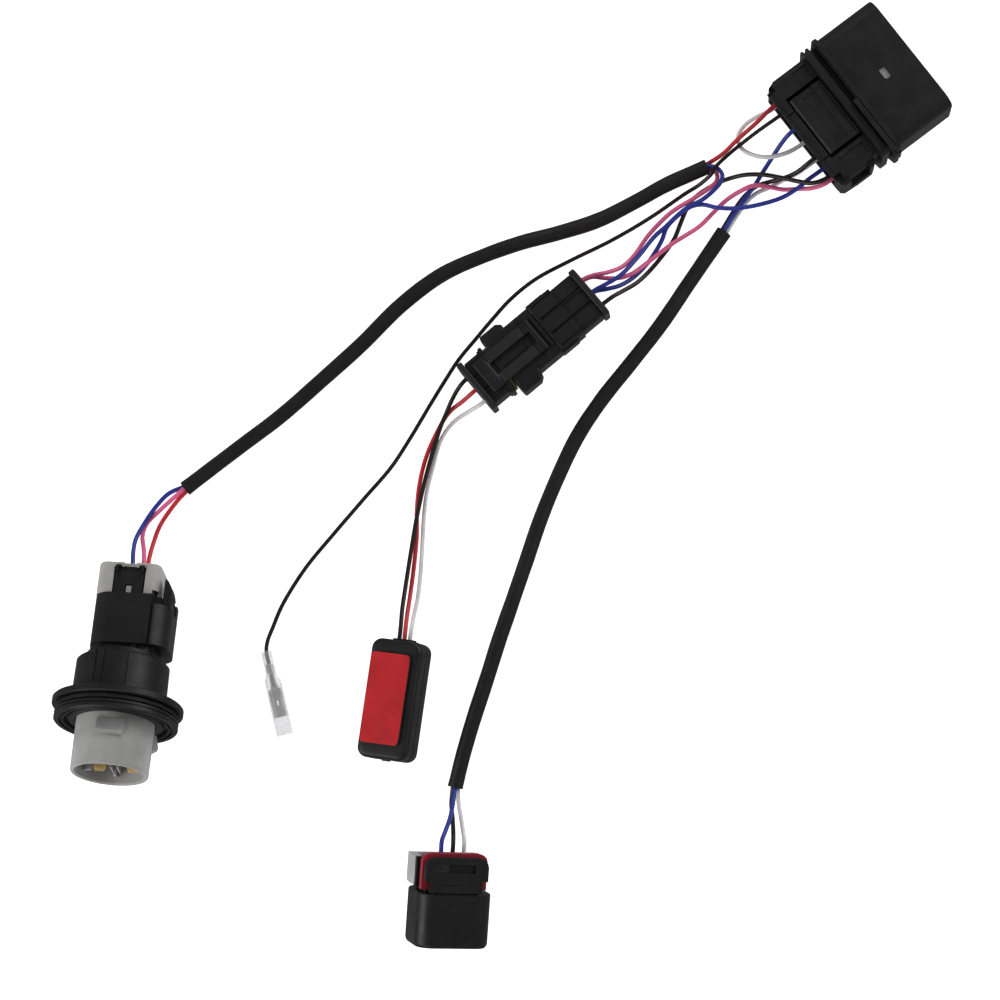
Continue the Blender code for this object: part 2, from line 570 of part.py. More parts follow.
# ---------------------------------------------------------------- lamp connector

def blade_slots():
    """Passages for the three blades, 0.3 mm clear all round."""
    wide = LAMP_BLADE_WIDTH / 2 + 0.3
    thick = LAMP_BLADE_THICKNESS / 2 + 0.3
    return boxes([(x - wide, x + wide, 44.2, 65.6, z - thick, z + thick) for x, z in LAMP_BLADES])


def lamp_connector():
    frame = frame_empty("lamp_frame", LAMP_PLACE)
    recess = (18.0, 13.0, 2.0)
    tail = (21.6, 18.0, 3.0)
    neck = (26.0, 21.0, 6.0)
    housing = solid("lamp_plug_housing", loft([
        (5.2, *recess), (1.4, *recess), (1.4, *tail), (13.3, *tail),
        (13.3, *LAMP_COLLAR), (34.0, *LAMP_COLLAR),
        (34.0, *neck), (36.4, *neck), disc(36.4, LAMP_NOSE_DIAMETER), disc(51.2, LAMP_NOSE_DIAMETER),
    ], steps=4), frame, "black_plastic")
    weld(housing, boxes([(-5.7, 5.7, 2.4, 15.0, 7.0, 10.3)]), frame)
    cut(housing, boxes([(-8.8, -7.8, 12.9, 34.6, 11.3, 14.0), (-20.0, -13.6, 12.9, 18.7, -1.2, 9.2)]), frame)
    cut(housing, blade_slots(), frame)
    solid("lamp_wire_seal", loft([(3.6, 17.4, 12.4, 1.7), (4.9, 17.4, 12.4, 1.7)]), frame, "black_rubber")
    lamp_lock(frame)
    lamp_latch(frame)
    lamp_adapter(frame)
    rest_on_floor(frame)


def lamp_lock(frame):
    hole = (18.8, 14.4, 2.0)
    inside = (22.2, 18.6, 3.2)
    outside = (25.0, 20.4, 4.0, 0.5, 0.0)
    lock = solid("lamp_plug_lock", loft([
        (-0.3, *hole), (1.1, *hole), (1.1, *inside), (13.1, *inside), (13.1, *outside), (-0.3, *outside),
    ], closed=True), frame, "light_grey_plastic")
    cut(lock, boxes([(-6.3, 6.3, 1.7, 14.0, 8.0, 12.0)]), frame)


def lamp_latch(frame):
    hinge_x, hinge_y = LAMP_LATCH_AXIS
    pivot = pivot_empty("lamp_latch_pivot", frame, (hinge_x, hinge_y, 0))
    outline = [
        (-14.0, 5.2), (-16.6, 8.2), (-17.6, 12.0), (-17.6, 17.2),
        (-16.6, 18.2), (-14.9, 18.2), (-14.0, 17.0),
    ]
    solid("lamp_plug_latch", prism(outline, -0.6, 8.6), frame, "black_plastic", pivot)


def lamp_adapter(frame):
    body = solid("lamp_adapter_body", loft([
        disc(51.8, LAMP_NOSE_DIAMETER + 1.2), disc(38.8, LAMP_NOSE_DIAMETER + 1.2),
        disc(38.8, LAMP_BODY_DIAMETER),
        disc(55.4, LAMP_BODY_DIAMETER), disc(55.4, LAMP_FLANGE_DIAMETER), disc(58.2, LAMP_FLANGE_DIAMETER),
        disc(58.2, LAMP_GROOVE_DIAMETER), disc(60.8, LAMP_GROOVE_DIAMETER), disc(60.8, LAMP_LIP_DIAMETER),
        disc(64.2, LAMP_LIP_DIAMETER), disc(64.2, LAMP_SOCKET_DIAMETER + 0.8),
        disc(59.2, LAMP_SOCKET_DIAMETER + 0.8),
    ], steps=6), frame, "black_plastic")
    cut(body, blade_slots(), frame)
    ring_bore = LAMP_GROOVE_DIAMETER + 0.6
    solid("lamp_adapter_o_ring", loft([
        disc(58.8, ring_bore), disc(60.2, ring_bore),
        disc(60.2, ring_bore + 2.4), disc(58.8, ring_bore + 2.4),
    ], steps=5, closed=True), frame, "black_rubber")
    socket = solid("lamp_adapter_socket", loft([
        disc(59.6, LAMP_SOCKET_DIAMETER), disc(LAMP_LENGTH, LAMP_SOCKET_DIAMETER - 0.4),
        disc(LAMP_LENGTH, LAMP_SOCKET_BORE), disc(63.4, LAMP_SOCKET_BORE - 0.4),
    ], steps=6), frame, "grey_plastic")
    for turn in (4.0, 124.0):
        tab = prism([(66.0, 14.6), (72.2, 14.6), (72.2, 16.6), (71.0, 16.9), (66.0, 15.8)], -5.2, 5.2, "X")
        around = Matrix.Rotation(math.radians(-turn), 3, "Y")
        bmesh.ops.rotate(tab, cent=(0, 0, 0), matrix=around, verts=tab.verts)
        weld(socket, tab, frame)
    cut(socket, blade_slots(), frame)
    for number, (x, z) in enumerate(LAMP_BLADES, 1):
        wide = LAMP_BLADE_WIDTH
        thick = LAMP_BLADE_THICKNESS
        solid(f"lamp_blade_{number}", loft([
            (44.8, wide, thick, 0.0, x, z), (80.8, wide, thick, 0.0, x, z),
            (82.0, wide - 1.2, thick / 2, 0.0, x, z),
        ], steps=0), frame, "brass")


# ---------------------------------------------------------------- inline connector

def row_of_three(pitch):
    return [(-pitch, 0.0), (0.0, 0.0), (pitch, 0.0)]


def inline_pin_slots():
    return boxes([(x - 1.05, x + 1.05, 16.4, 37.0, -0.7, 0.7) for x, _ in row_of_three(INLINE_PIN_PITCH)])


def inline_connector():
    frame = frame_empty("inline_frame", INLINE_PLACE, INLINE_PLATE[1] / 2)
    cavity = (16.4, 10.4, 2.8)
    rear = (21.4, 14.0, 3.0)
    recess = (17.8, 7.6, 2.0)
    cap = solid("inline_cap_housing", loft([
        (30.0, *cavity), (14.0, *cavity), (14.0, *INLINE_COLLAR),
        (24.0, *INLINE_COLLAR), (24.0, *INLINE_CAP_BODY),
        (47.5, *INLINE_CAP_BODY), (47.5, *rear), (57.2, *rear), (57.2, *recess), (53.6, *recess),
    ]), frame, "black_plastic")
    cut(cap, boxes([(-3.6, -2.8, 38.0, 58.0, 6.2, 9.0), (2.8, 3.6, 38.0, 58.0, 6.2, 9.0)]), frame)
    cut(cap, inline_pin_slots(), frame)
    plate = solid("inline_cap_cover", loft([(57.6, *INLINE_PLATE), (INLINE_LENGTH, *INLINE_PLATE)]),
                  frame, "black_plastic")
    cut(plate, drills(row_of_three(INLINE_CAP_PITCH), 4.9, 56.0, 62.0), frame)
    for number, (x, z) in enumerate(row_of_three(INLINE_PIN_PITCH), 1):
        solid(f"inline_pin_{number}", loft([
            (17.4, 0.8, 0.4, 0.0, x, z), (18.2, 1.5, 0.8, 0.0, x, z), (36.4, 1.5, 0.8, 0.0, x, z),
        ], steps=0), frame, "tin")
    inline_plug(frame)


def inline_plug(frame):
    recess = (17.0, 7.0, 1.6)
    lip = (22.4, 16.0, 3.5)
    plug = solid("inline_plug_housing", loft([
        (5.8, *recess), (2.8, *recess), (2.8, *INLINE_PLUG_BODY), (11.0, *INLINE_PLUG_BODY), (11.0, *lip),
        (11.9, *lip), (11.9, *INLINE_NOSE), (28.0, *INLINE_NOSE),
    ]), frame, "black_plastic")
    cut(plug, inline_pin_slots(), frame)
    ring = (16.2, 10.2, 2.7)
    outer = (20.0, 14.0, 3.5)
    solid("inline_seal", loft([
        (12.3, *ring), (13.5, *ring), (13.5, *outer), (12.3, *outer),
    ], closed=True), frame, "olive_seal")
    cover_levels = loft([(0.0, *INLINE_PLATE), (2.5, *INLINE_PLATE)])
    plate = solid("inline_plug_cover", cover_levels, frame, "black_plastic")
    cut(plate, drills(row_of_three(INLINE_PLUG_PITCH), 2.7, -1.0, 4.0), frame)
    hinge_y, hinge_z = INLINE_LATCH_AXIS
    pivot = pivot_empty("inline_latch_pivot", frame, (0, hinge_y, hinge_z))
    profile = [(5.0, 7.3), (10.4, 7.3), (10.8, 8.4), (32.8, 8.4), (32.8, 9.8), (32.2, 10.2), (5.0, 10.2)]
    latch = solid("inline_plug_latch", prism(profile, -7.1, 7.1, "X"), frame, "black_plastic", pivot)
    cut(latch, boxes([(-2.6, 2.6, 13.0, 30.6, 7.0, 12.0)]), frame, pivot)


# ---------------------------------------------------------------- control module

def case_half(name, side, frame):
    """One half of the case: side +1 is the upper shell, -1 the lower one."""
    inner = (MODULE_WIDTH - 2.6, MODULE_LENGTH - 2.6, MODULE_CORNER - 1.3)
    outer = (MODULE_WIDTH, MODULE_LENGTH, MODULE_CORNER)
    face = (MODULE_WIDTH - 2.4, MODULE_LENGTH - 2.4, MODULE_CORNER - 1.2)
    half = solid(name, loft([
        (side * 5.6, *inner), (side * 0.25, *inner), (side * 0.25, *outer), (side * 6.0, *outer),
        (side * MODULE_HALF_HEIGHT, *face),
    ], steps=4, along="Z"), frame, "black_plastic")
    cut(half, boxes([(-2.9, 4.1, 20.0, 26.0, -1.4, 1.4)]), frame)


def module():
    frame = frame_empty("module_frame", MODULE_PLACE)
    case_half("module_case_top", 1, frame)
    case_half("module_case_base", -1, frame)
    board = (17.4, 38.0, 1.0, 0.0, -1.6)
    chip = (11.0, 20.0, 0.8, 0.0, -3.0)
    solid("module_board", loft([(-2.6, *board), (-1.2, *board), (-1.2, *chip), (1.8, *chip)], along="Z"),
          frame, "board_green")
    tape = (TAPE_WIDTH, TAPE_LENGTH, 1.2, TAPE_OFFSET, 0.0)
    solid("module_foam_tape", loft([(7.6, *tape), (8.4, *tape)], along="Z"), frame, "foam")
    solid("module_tape_liner", loft([(8.7, *tape), (9.1, *tape)], along="Z"), frame, "red_liner")
    rest_on_floor(frame)


# ---------------------------------------------------------------- tail connector

def tail_connector():
    frame = frame_empty("tail_frame", TAIL_PLACE)
    low = (0.0, -1.5)
    recess = (17.0, 8.0, 1.6, *low)
    housing = solid("tail_plug_housing", loft([
        (7.8, *recess), (4.4, *recess), (4.4, *TAIL_BODY, *low),
        (16.6, *TAIL_BODY, *low), (16.6, *TAIL_SHELL),
        (TAIL_LENGTH, *TAIL_SHELL), (TAIL_LENGTH, *TAIL_MOUTH),
        (20.0, *TAIL_MOUTH), (20.0, *TAIL_TOWER, *low),
        (34.0, *TAIL_TOWER, *low),
    ], steps=3), frame, "black_plastic")
    cut(housing, drills([(-5.0, -1.5), (0.0, -1.5), (5.0, -1.5)], 2.6, 28.0, 36.0), frame)
    solid("tail_wire_seal", loft([
        (6.0, 16.4, 7.4, 1.3, *low), (7.5, 16.4, 7.4, 1.3, *low),
    ]), frame, "black_rubber")
    wall = (11.5, 13.2)
    thick_wall = 14.2
    solid("tail_plug_lock", prism([
        (-wall[1], 2.6), (-wall[1], -9.4), (thick_wall, -9.4), (thick_wall, 2.6), (wall[0], 2.6),
        (wall[0], -7.9), (-wall[0], -7.9), (-wall[0], 2.6),
    ], 3.2, 15.2, "Y"), frame, "light_grey_plastic")
    solid("tail_plug_cpa", prism([
        (-13.2, 15.4), (-13.2, 4.4), (-11.9, 1.9), (-9.4, 0.8),
        (9.4, 0.8), (11.9, 1.9), (13.2, 4.4), (13.2, 15.4),
        (9.6, 15.4), (9.6, 12.4), (10.9, 12.4), (10.9, 4.8), (9.0, 3.0),
        (-9.0, 3.0), (-10.9, 4.8), (-10.9, 12.4),
        (-9.6, 12.4), (-9.6, 15.4),
    ], 5.1, 7.5), frame, "red_plastic")
    tail_latch(frame)
    rest_on_floor(frame)


def tail_latch(frame):
    hinge_y, hinge_z = TAIL_LATCH_AXIS
    pivot = pivot_empty("tail_latch_pivot", frame, (0, hinge_y, hinge_z))
    outline = [
        (-10.4, 16.2), (-10.4, 11.6), (-12.6, 11.6), (-12.6, 6.0), (-11.2, 3.6), (-8.6, 2.5), (8.6, 2.5),
        (11.2, 3.6), (12.6, 6.0), (12.6, 11.6), (10.4, 11.6), (10.4, 16.2),
    ]
    latch = solid("tail_plug_latch", prism(outline, 8.7, 11.3), frame, "black_plastic", pivot)
    cut(latch, boxes([(-6.8, 6.6, 5.0, 9.2, 10.5, 13.0)]), frame, pivot)


# ---------------------------------------------------------------- lead terminal

def lead_end():
    frame = frame_empty("lead_frame", LEAD_PLACE, 2.7)
    neck = (4.2, 4.2, 1.4)
    neck_bore = (3.3, 3.3, 1.1)
    bore = (LEAD_COVER[0] - 0.9, LEAD_COVER[1] - 0.9, 1.2)
    solid("lead_terminal_cover", loft([
        (0.0, *neck), (9.4, *neck), (11.6, *LEAD_COVER), (LEAD_LENGTH, *LEAD_COVER), (LEAD_LENGTH, *bore),
        (12.0, *bore), (9.8, *neck_bore), (0.0, *neck_bore),
    ], closed=True), frame, "clear_vinyl")
    solid("lead_terminal", loft([
        (5.4, 2.4, 2.4, 0.8), (9.4, 2.4, 2.4, 0.8), (10.4, 1.8, 1.2, 0.4), (14.6, 1.8, 1.2, 0.4),
        (15.6, 5.0, 1.8, 0.5), (26.6, 5.0, 1.8, 0.5),
    ]), frame, "tin")


def build():
    clear_objects()
    main_connector()
    lamp_connector()
    inline_connector()
    module()
    tail_connector()
    lead_end()
    wires()
    bpy.context.view_layer.update()


build()
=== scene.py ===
"""Looks of the plug-in adapter harness: four connectors, a control module and a crimped lead.

They lie on a white surface. Every unit is drawn in its own frame in millimetres, as in the CAD source: +Y is
the mating direction, +Z is up and the origin is on the unit's axis at its wire end.
"""

import math

import bmesh
import bpy
from mathutils import Euler, Matrix, Vector, noise


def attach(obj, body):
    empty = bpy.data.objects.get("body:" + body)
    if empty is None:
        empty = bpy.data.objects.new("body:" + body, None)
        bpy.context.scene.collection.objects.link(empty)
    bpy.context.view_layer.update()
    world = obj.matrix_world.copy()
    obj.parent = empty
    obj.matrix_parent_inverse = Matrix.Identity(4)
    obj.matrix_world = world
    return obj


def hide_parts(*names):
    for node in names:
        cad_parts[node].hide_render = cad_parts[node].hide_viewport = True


MM = 0.001
UP = Vector((0, 0, 1))

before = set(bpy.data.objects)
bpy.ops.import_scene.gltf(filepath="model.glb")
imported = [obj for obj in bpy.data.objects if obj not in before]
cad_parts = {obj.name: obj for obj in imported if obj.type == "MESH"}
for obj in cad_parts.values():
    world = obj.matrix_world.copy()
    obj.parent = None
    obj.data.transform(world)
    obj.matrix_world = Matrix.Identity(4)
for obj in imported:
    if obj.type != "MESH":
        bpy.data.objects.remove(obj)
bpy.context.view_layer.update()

# x, y, height of each unit's frame (mm), yaw, pitch and roll (degrees)
PLACES = {
    "main": (118.2, 134.4, 15.5, -53.2, 0.0, 0.0),
    "lamp": (-147.9, -36.0, 9.96, 176.7, 15.5, 0.0),
    "inline": (-12.9, 35.8, 8.5, -50.2, 0.0, 0.0),
    "module": (-44.3, -87.2, 9.205, -8.0, 0.0, -13.0),
    "tail": (-21.0, -144.4, 19.94, 179.0, -9.0, -22.5),
    "lead": (-96.4, -67.3, 2.7, -166.5, 0.0, 0.0),
}

WIRE_DIAMETER = 1.8
THIN_WIRE_DIAMETER = 1.6
SLEEVE_DIAMETER = 6.2
SLEEVE_BORE = 5.0
BUNDLE_RADIUS = 1.2
# distance between a line's points, in a tube and in the open
SLEEVE_SPACING = 2.6
FREE_SPACING = 1.3
# parts that a curve is cut into between two route points before it is spaced evenly
CURVE_PARTS = 24

# edges sharper than these angles (degrees) are eased or shaded as edges
EASED_ANGLE = 32
SHARP_ANGLE = 42
CAD_EASED_ANGLE = 40
LINER_SHARP_ANGLE = 40
TUBE_SHARP_ANGLE = 50
EDGE_SEGMENTS = 3
CAD_EDGE_SEGMENTS = 2
DRILL_SIDES = 24

# the tubes lie flat: x and y only
SLEEVE_HEIGHT = 3.3
LAMP_SLEEVE_ROUTE = [
    (79.2, 125.9), (72.2, 122.9), (62.2, 118.4), (52.2, 112.9), (36.2, 104.9), (20.2, 99.9), (4.2, 95.9),
    (-11.8, 90.4), (-27.3, 83.4), (-43.3, 71.4), (-59.3, 55.4), (-75.3, 40.9), (-91.3, 26.9),
    (-107.3, 14.9), (-119.3, 5.9), (-129.8, -2.1),
]
TAIL_SLEEVE_ROUTE = [
    (85.7, 99.4), (72.7, 80.4), (60.2, 61.9), (48.2, 46.4), (36.7, 31.9), (27.2, 17.4), (19.7, 1.9),
    (12.7, -15.1), (7.2, -31.1), (1.7, -47.1), (-3.8, -63.1), (-8.8, -79.1), (-13.8, -94.6),
    (-17.8, -108.6), (-20.8, -121.1),
]
RED_LAMP_START = [
    (108.5, 149.1, 15.8), (104.2, 145.8, 15.5), (99.2, 141.4, 13.2), (91.2, 135.4, 8.6), (85.2, 130.4, 5.2),
]
RED_LAMP_END = [
    (-133.3, -7.1, 1.8), (-139.8, -16.2, 1.1), (-142.2, -23.2, 2.2), (-143.3, -29.6, 5.1),
    (-143.7, -34.2, 6.8), (-143.9, -40.1, 8.5),
]
BLUE_LAMP_START = [
    (28.5, 70.3, 9.6), (34, 74.9, 9.6), (38.7, 77.5, 9.5), (44.7, 81.3, 8.7), (51.7, 89.4, 5.6),
    (58.2, 97.9, 3.6), (62.2, 101.4, 3.5), (66.6, 105.3, 5.0), (70.6, 108.5, 5.5), (77.2, 112.1, 5.3),
    (81.4, 115.5, 5.3), (84.5, 119.1, 5.3), (85.2, 122.1, 5.2), (82.8, 125.2, 4.9),
]
BLUE_LAMP_END = [
    (-136.3, -3.9, 3), (-141.3, -9.1, 3.2), (-145.3, -14.9, 3.3), (-148.8, -22.6, 6),
    (-149.1, -28.5, 9.4), (-148.8, -32.4, 11.2), (-149, -38.5, 13.1),
]
PINK_LAMP_START = [
    (24.5, 75.1, 9.6), (30, 79.7, 9.6), (34.2, 81.3, 9.7), (39.7, 82.5, 9.0), (45.2, 85.2, 6.2),
    (49.7, 89.9, 3.6), (55.7, 98.9, 1.4), (63.7, 106.9, 2.4), (68.2, 109.9, 3.1), (72.2, 112.2, 3.1),
    (76.2, 114.7, 3.1), (80.2, 117.4, 3.1), (82.8, 119.9, 3.1), (83.2, 122.3, 3.1), (82, 124.2, 2.9),
]
PINK_LAMP_END = [
    (-134.8, -6.3, 3.6), (-140.3, -10.9, 2.2), (-145.3, -15.7, 1.2), (-146.8, -20.5, 2.3),
    (-145.6, -25.8, 6), (-144.5, -30.5, 10.1), (-144.4, -33.7, 11.8), (-144.5, -38.7, 13.3),
]
BLUE_TAIL_START = [
    (116, 139, 15.8), (111.8, 135.9, 15.2), (108.2, 132.4, 11.0), (104.7, 127.9, 6.8), (101.2, 122.9, 4.6),
    (97.7, 117.4, 3.6), (94.2, 112.9, 3.1), (90.7, 107.9, 3.2),
]
BLUE_TAIL_END = [
    (-21.2, -126.4, 7.2), (-21.9, -133.2, 13.4), (-23.2, -138.2, 18.0), (-24.4, -142.1, 20.1),
    (-24.7, -146.1, 19.5), (-24.9, -149.5, 19.0),
]
BLACK_TAIL_START = [
    (124.3, 127.9, 15.8), (120, 124.7, 15.2), (114.7, 121.4, 11.0), (109.2, 119.9, 6.8), (103.2, 119.1, 3.4),
    (99.2, 118.3, 1.4), (96.2, 116.3, 1.0), (93.2, 113.3, 1.0), (89.7, 108.3, 1.1),
]
BLACK_TAIL_END = [
    (-22.4, -127.1, 2.6), (-21.5, -132.4, 7.1), (-20.6, -137.1, 13.6), (-20.1, -142.2, 18.3),
    (-20.4, -146.2, 17.7), (-20.7, -149.6, 17.2),
]
WHITE_TAIL_START = [
    (124.3, 127.9, 10.8), (120, 124.7, 10.4), (114.7, 121.7, 7.2), (109.2, 119.7, 3.6), (103.7, 117.3, 1.4),
    (99.2, 115.5, 1.0), (95.1, 112.1, 1.0), (91.5, 107.2, 1.1),
]
WHITE_TAIL_END = [
    (-19.5, -127.1, 3), (-18.2, -132.4, 7.1), (-16.9, -137.4, 12.4), (-15.9, -142.3, 16.6),
    (-16.2, -146.2, 16.0), (-16.4, -149.7, 15.5),
]
TRIGGER_ROUTE = [
    (111.2, 145.4, 15.8), (106.6, 142.2, 15.4), (100.2, 138.4, 12.6), (92.7, 133.4, 9.4),
    (87.2, 129.2, 8), (82.4, 124.7, 7.2), (80.8, 122.1, 6.4), (78.2, 120.1, 4.4), (75.2, 118.3, 2),
    (70.7, 115.8, 1), (56.2, 105.9, 1), (40.7, 96.9, 1), (24.2, 88.9, 1), (10.4, 81.6, 1),
    (0.6, 73.8, 1), (-6.7, 65.8, 1), (-13.4, 57.8, 1), (-20.3, 49.4, 1), (-26, 40.6, 1),
    (-31.6, 31.4, 1), (-39.7, 17.7, 1), (-47.2, 6.2, 1), (-57.8, -6.1, 1), (-69.8, -20.1, 1),
    (-81.3, -34.1, 1), (-90.3, -48.6, 1), (-93.8, -57.1, 1.4), (-96, -63.5, 2.4), (-96.3, -67.5, 2.7),
    (-95.2, -72.2, 2.7),
]
JUMPER_ROUTE = [
    (108.2, 149.4, 10.8), (103.8, 146.2, 10.6), (99.2, 144.5, 9.4), (94.2, 141.5, 7.4), (91.5, 137.4, 6.2),
    (92.5, 132.9, 6.2), (97.2, 129.4, 7.8), (103.2, 127.9, 9.8), (109.7, 128.9, 10.9), (114.8, 131.3, 10.9),
    (119.3, 134.6, 10.8),
]
BLACK_FEED_ROUTE = [
    (129.9, 120.4, 15.8), (125.4, 117.3, 15.7), (120.7, 116.1, 14.6), (115.2, 117.4, 12.0),
    (109.2, 119.4, 9.6), (101.2, 121.4, 7.4), (94.2, 121.9, 5.2), (89.2, 121.4, 2.8), (85.2, 120.5, 1.0),
    (80.4, 118.2, 1.0), (75.8, 115.3, 1.0), (72.4, 112.1, 1.0), (70.2, 107.9, 1.0), (68.2, 102.9, 1.0),
    (65.7, 96.9, 1.0), (60.7, 89.9, 1.0), (55.2, 83.4, 1.6), (50.7, 78.9, 3.8), (45.2, 75.2, 6.4),
    (41.7, 72.9, 8.1), (38.4, 70.4, 8.5), (32.5, 65.5, 8.5),
]
PINK_FEED_ROUTE = [
    (130.1, 120.1, 10.8), (125.8, 116.7, 10.4), (120.7, 115.5, 8.0), (115.2, 115.8, 5.6),
    (109.2, 115.9, 4.4), (103.2, 116.9, 5.4), (97.7, 117.4, 5.9), (92.2, 115.4, 4.6), (86.7, 112.4, 2.2),
    (82.7, 108.9, 1.0), (76.2, 102.4, 1.0), (69.7, 97.9, 2.2), (65.2, 94.9, 3.1), (59.2, 90.4, 3.2),
    (54.7, 86.9, 3.4), (49.2, 82.6, 5.0), (44.2, 80.7, 6.2), (38.2, 80.5, 7.3), (33.6, 81, 7.5),
    (30, 79.7, 7.5), (24.5, 75.1, 7.5),
]
BLUE_FEED_ROUTE = [
    (127.1, 124.1, 10.8), (122.8, 121.1, 10.4), (119.2, 118.7, 9.6), (115.2, 115.7, 8.2),
    (109.2, 112.4, 6.4), (100.7, 109.9, 5.6), (91.2, 108.4, 5.4), (83.2, 108.9, 4.6), (77.2, 110.5, 3.4),
    (73, 109.9, 3.3), (69.7, 108, 3.3), (66, 105.1, 2.4), (62.8, 101.7, 1.2), (61, 96.9, 1.0),
    (58.2, 91.9, 1.0), (54.7, 86.9, 1.2), (49.7, 81.6, 2.6), (44.2, 77.7, 5.6), (39.2, 76.1, 7.2),
    (34, 74.9, 7.5), (28.5, 70.3, 7.5),
]
MODULE_BLACK_ROUTE = [
    (-12.3, 43.7, 8.5), (-17.7, 39.2, 8.4), (-20.8, 35.4, 6.6), (-23.4, 30.7, 5.0), (-25.4, 26.4, 3.6),
    (-27.3, 21.9, 3.2), (-30.8, 10.4, 3.1), (-33.8, -1.1, 3.1), (-36.3, -12.6, 3.1), (-38.8, -27.6, 3.1),
    (-40.8, -41.6, 4.0), (-41.8, -51.1, 6.6), (-42.2, -59.1, 8.8), (-43, -66.8, 8.8),
]
MODULE_RED_ROUTE = [
    (-8.7, 39.3, 8.5), (-14.1, 34.8, 8.4), (-18.3, 31.9, 5.0), (-22.8, 29.1, 2.0), (-25.3, 26.5, 1.0),
    (-29.3, 19.4, 1.0), (-33.3, 9.9, 1.0), (-35.8, -0.6, 1.0), (-36.8, -10.6, 1.0), (-36.8, -21.1, 1.0),
    (-37.8, -33.1, 1.0), (-39.1, -45.1, 2.6), (-39.8, -53.1, 6.6), (-40.2, -59.5, 9.2), (-40.9, -67.1, 9.3),
]
MODULE_WHITE_ROUTE = [
    (-5, 34.9, 8.5), (-10.4, 30.4, 8.4), (-15.8, 27.7, 5.0), (-22.3, 23.9, 1.6), (-27.3, 16.9, 1.0),
    (-30.6, 5.4, 1.0), (-33, -5.1, 1.0), (-34, -15.1, 1.0), (-34.6, -26.6, 1.0), (-35.2, -37.1, 1.2),
    (-36.2, -47.1, 2.8), (-37.2, -54.1, 7.0), (-37.9, -60.1, 9.8), (-38.8, -67.4, 9.8),
]


# ---- camera, lights and surface

def preset(node, **values):
    """Sets a node's sockets, whose names are written with _ for a space."""
    for name, value in values.items():
        node.inputs[name.replace("_", " ")].default_value = value


def placed(name, data):
    """A new object in the scene."""
    item = bpy.data.objects.new(name, data)
    bpy.context.scene.collection.objects.link(item)
    return item


def camera():
    """Looks down from 1.2 m, a little from the right and from below the picture's middle."""
    eye = Vector((93.7, -154.3, 1229.6)) * MM
    target = Vector((-3.74, -7.13, 0.0)) * MM
    width_at_target = 0.3973
    sensor_width = 36.0
    roll = 0.00239
    data = bpy.data.cameras.new("camera")
    item = placed("camera", data)
    back = (eye - target).normalized()
    side = Vector((0, 1, 0)).cross(back).normalized()
    above = back.cross(side)
    side, above = (
        math.cos(roll) * side + math.sin(roll) * above,
        math.cos(roll) * above - math.sin(roll) * side,
    )
    matrix = Matrix((side, above, back)).transposed().to_4x4()
    matrix.translation = eye
    item.matrix_world = matrix
    data.sensor_width = sensor_width
    data.lens = sensor_width * (eye - target).length / width_at_target
    bpy.context.scene.camera = item


# name, place and size in metres, power in watts
LIGHTS = [
    ("light_left", (-0.95, -0.4, 0.62), (0.9, 0.6), 6.6),
    ("light_right", (0.95, 0.4, 0.62), (0.9, 0.6), 4.2),
    ("light_far", (0.4, 1.0, 0.62), (1.1, 0.5), 4.2),
    ("light_near", (-0.3, -1.0, 0.6), (1.1, 0.5), 1.6),
]
SURFACE_HALF_WIDTH = 3.0
SURFACE_LEVEL = -0.00012


def area_light(name, at, size, power):
    """A rectangular light that faces the origin."""
    data = bpy.data.lights.new(name, "AREA")
    data.shape = "RECTANGLE"
    data.size, data.size_y = size
    data.energy = power
    item = placed(name, data)
    item.location = at
    item.rotation_euler = (-Vector(at)).to_track_quat("-Z", "Y").to_euler()


def surroundings():
    """Four soft lights, a dim world and the white surface, which the pieces do not mirror."""
    for light in LIGHTS:
        area_light(*light)
    world = bpy.data.worlds.new("studio")
    world.use_nodes = True
    preset(world.node_tree.nodes["Background"], Color=(0.98, 0.99, 1.0, 1.0), Strength=0.2)
    bpy.context.scene.world = world
    bpy.context.scene.view_settings.view_transform = "Standard"
    builder = bmesh.new()
    bmesh.ops.create_grid(builder, x_segments=1, y_segments=1, size=SURFACE_HALF_WIDTH)
    bmesh.ops.translate(builder, vec=(0, 0, SURFACE_LEVEL), verts=builder.verts)
    mesh = bpy.data.meshes.new("surface")
    builder.to_mesh(mesh)
    builder.free()
    item = placed("surface", mesh)
    material = bpy.data.materials.new("white_surface")
    material.use_nodes = True
    preset(
        material.node_tree.nodes["Principled BSDF"], Base_Color=(0.85, 0.85, 0.85, 1.0), Roughness=0.8,
        Emission_Color=(1.0, 1.0, 1.0, 1.0), Emission_Strength=0.95,
    )
    mesh.materials.append(material)
    item.visible_glossy = False


# ---- materials

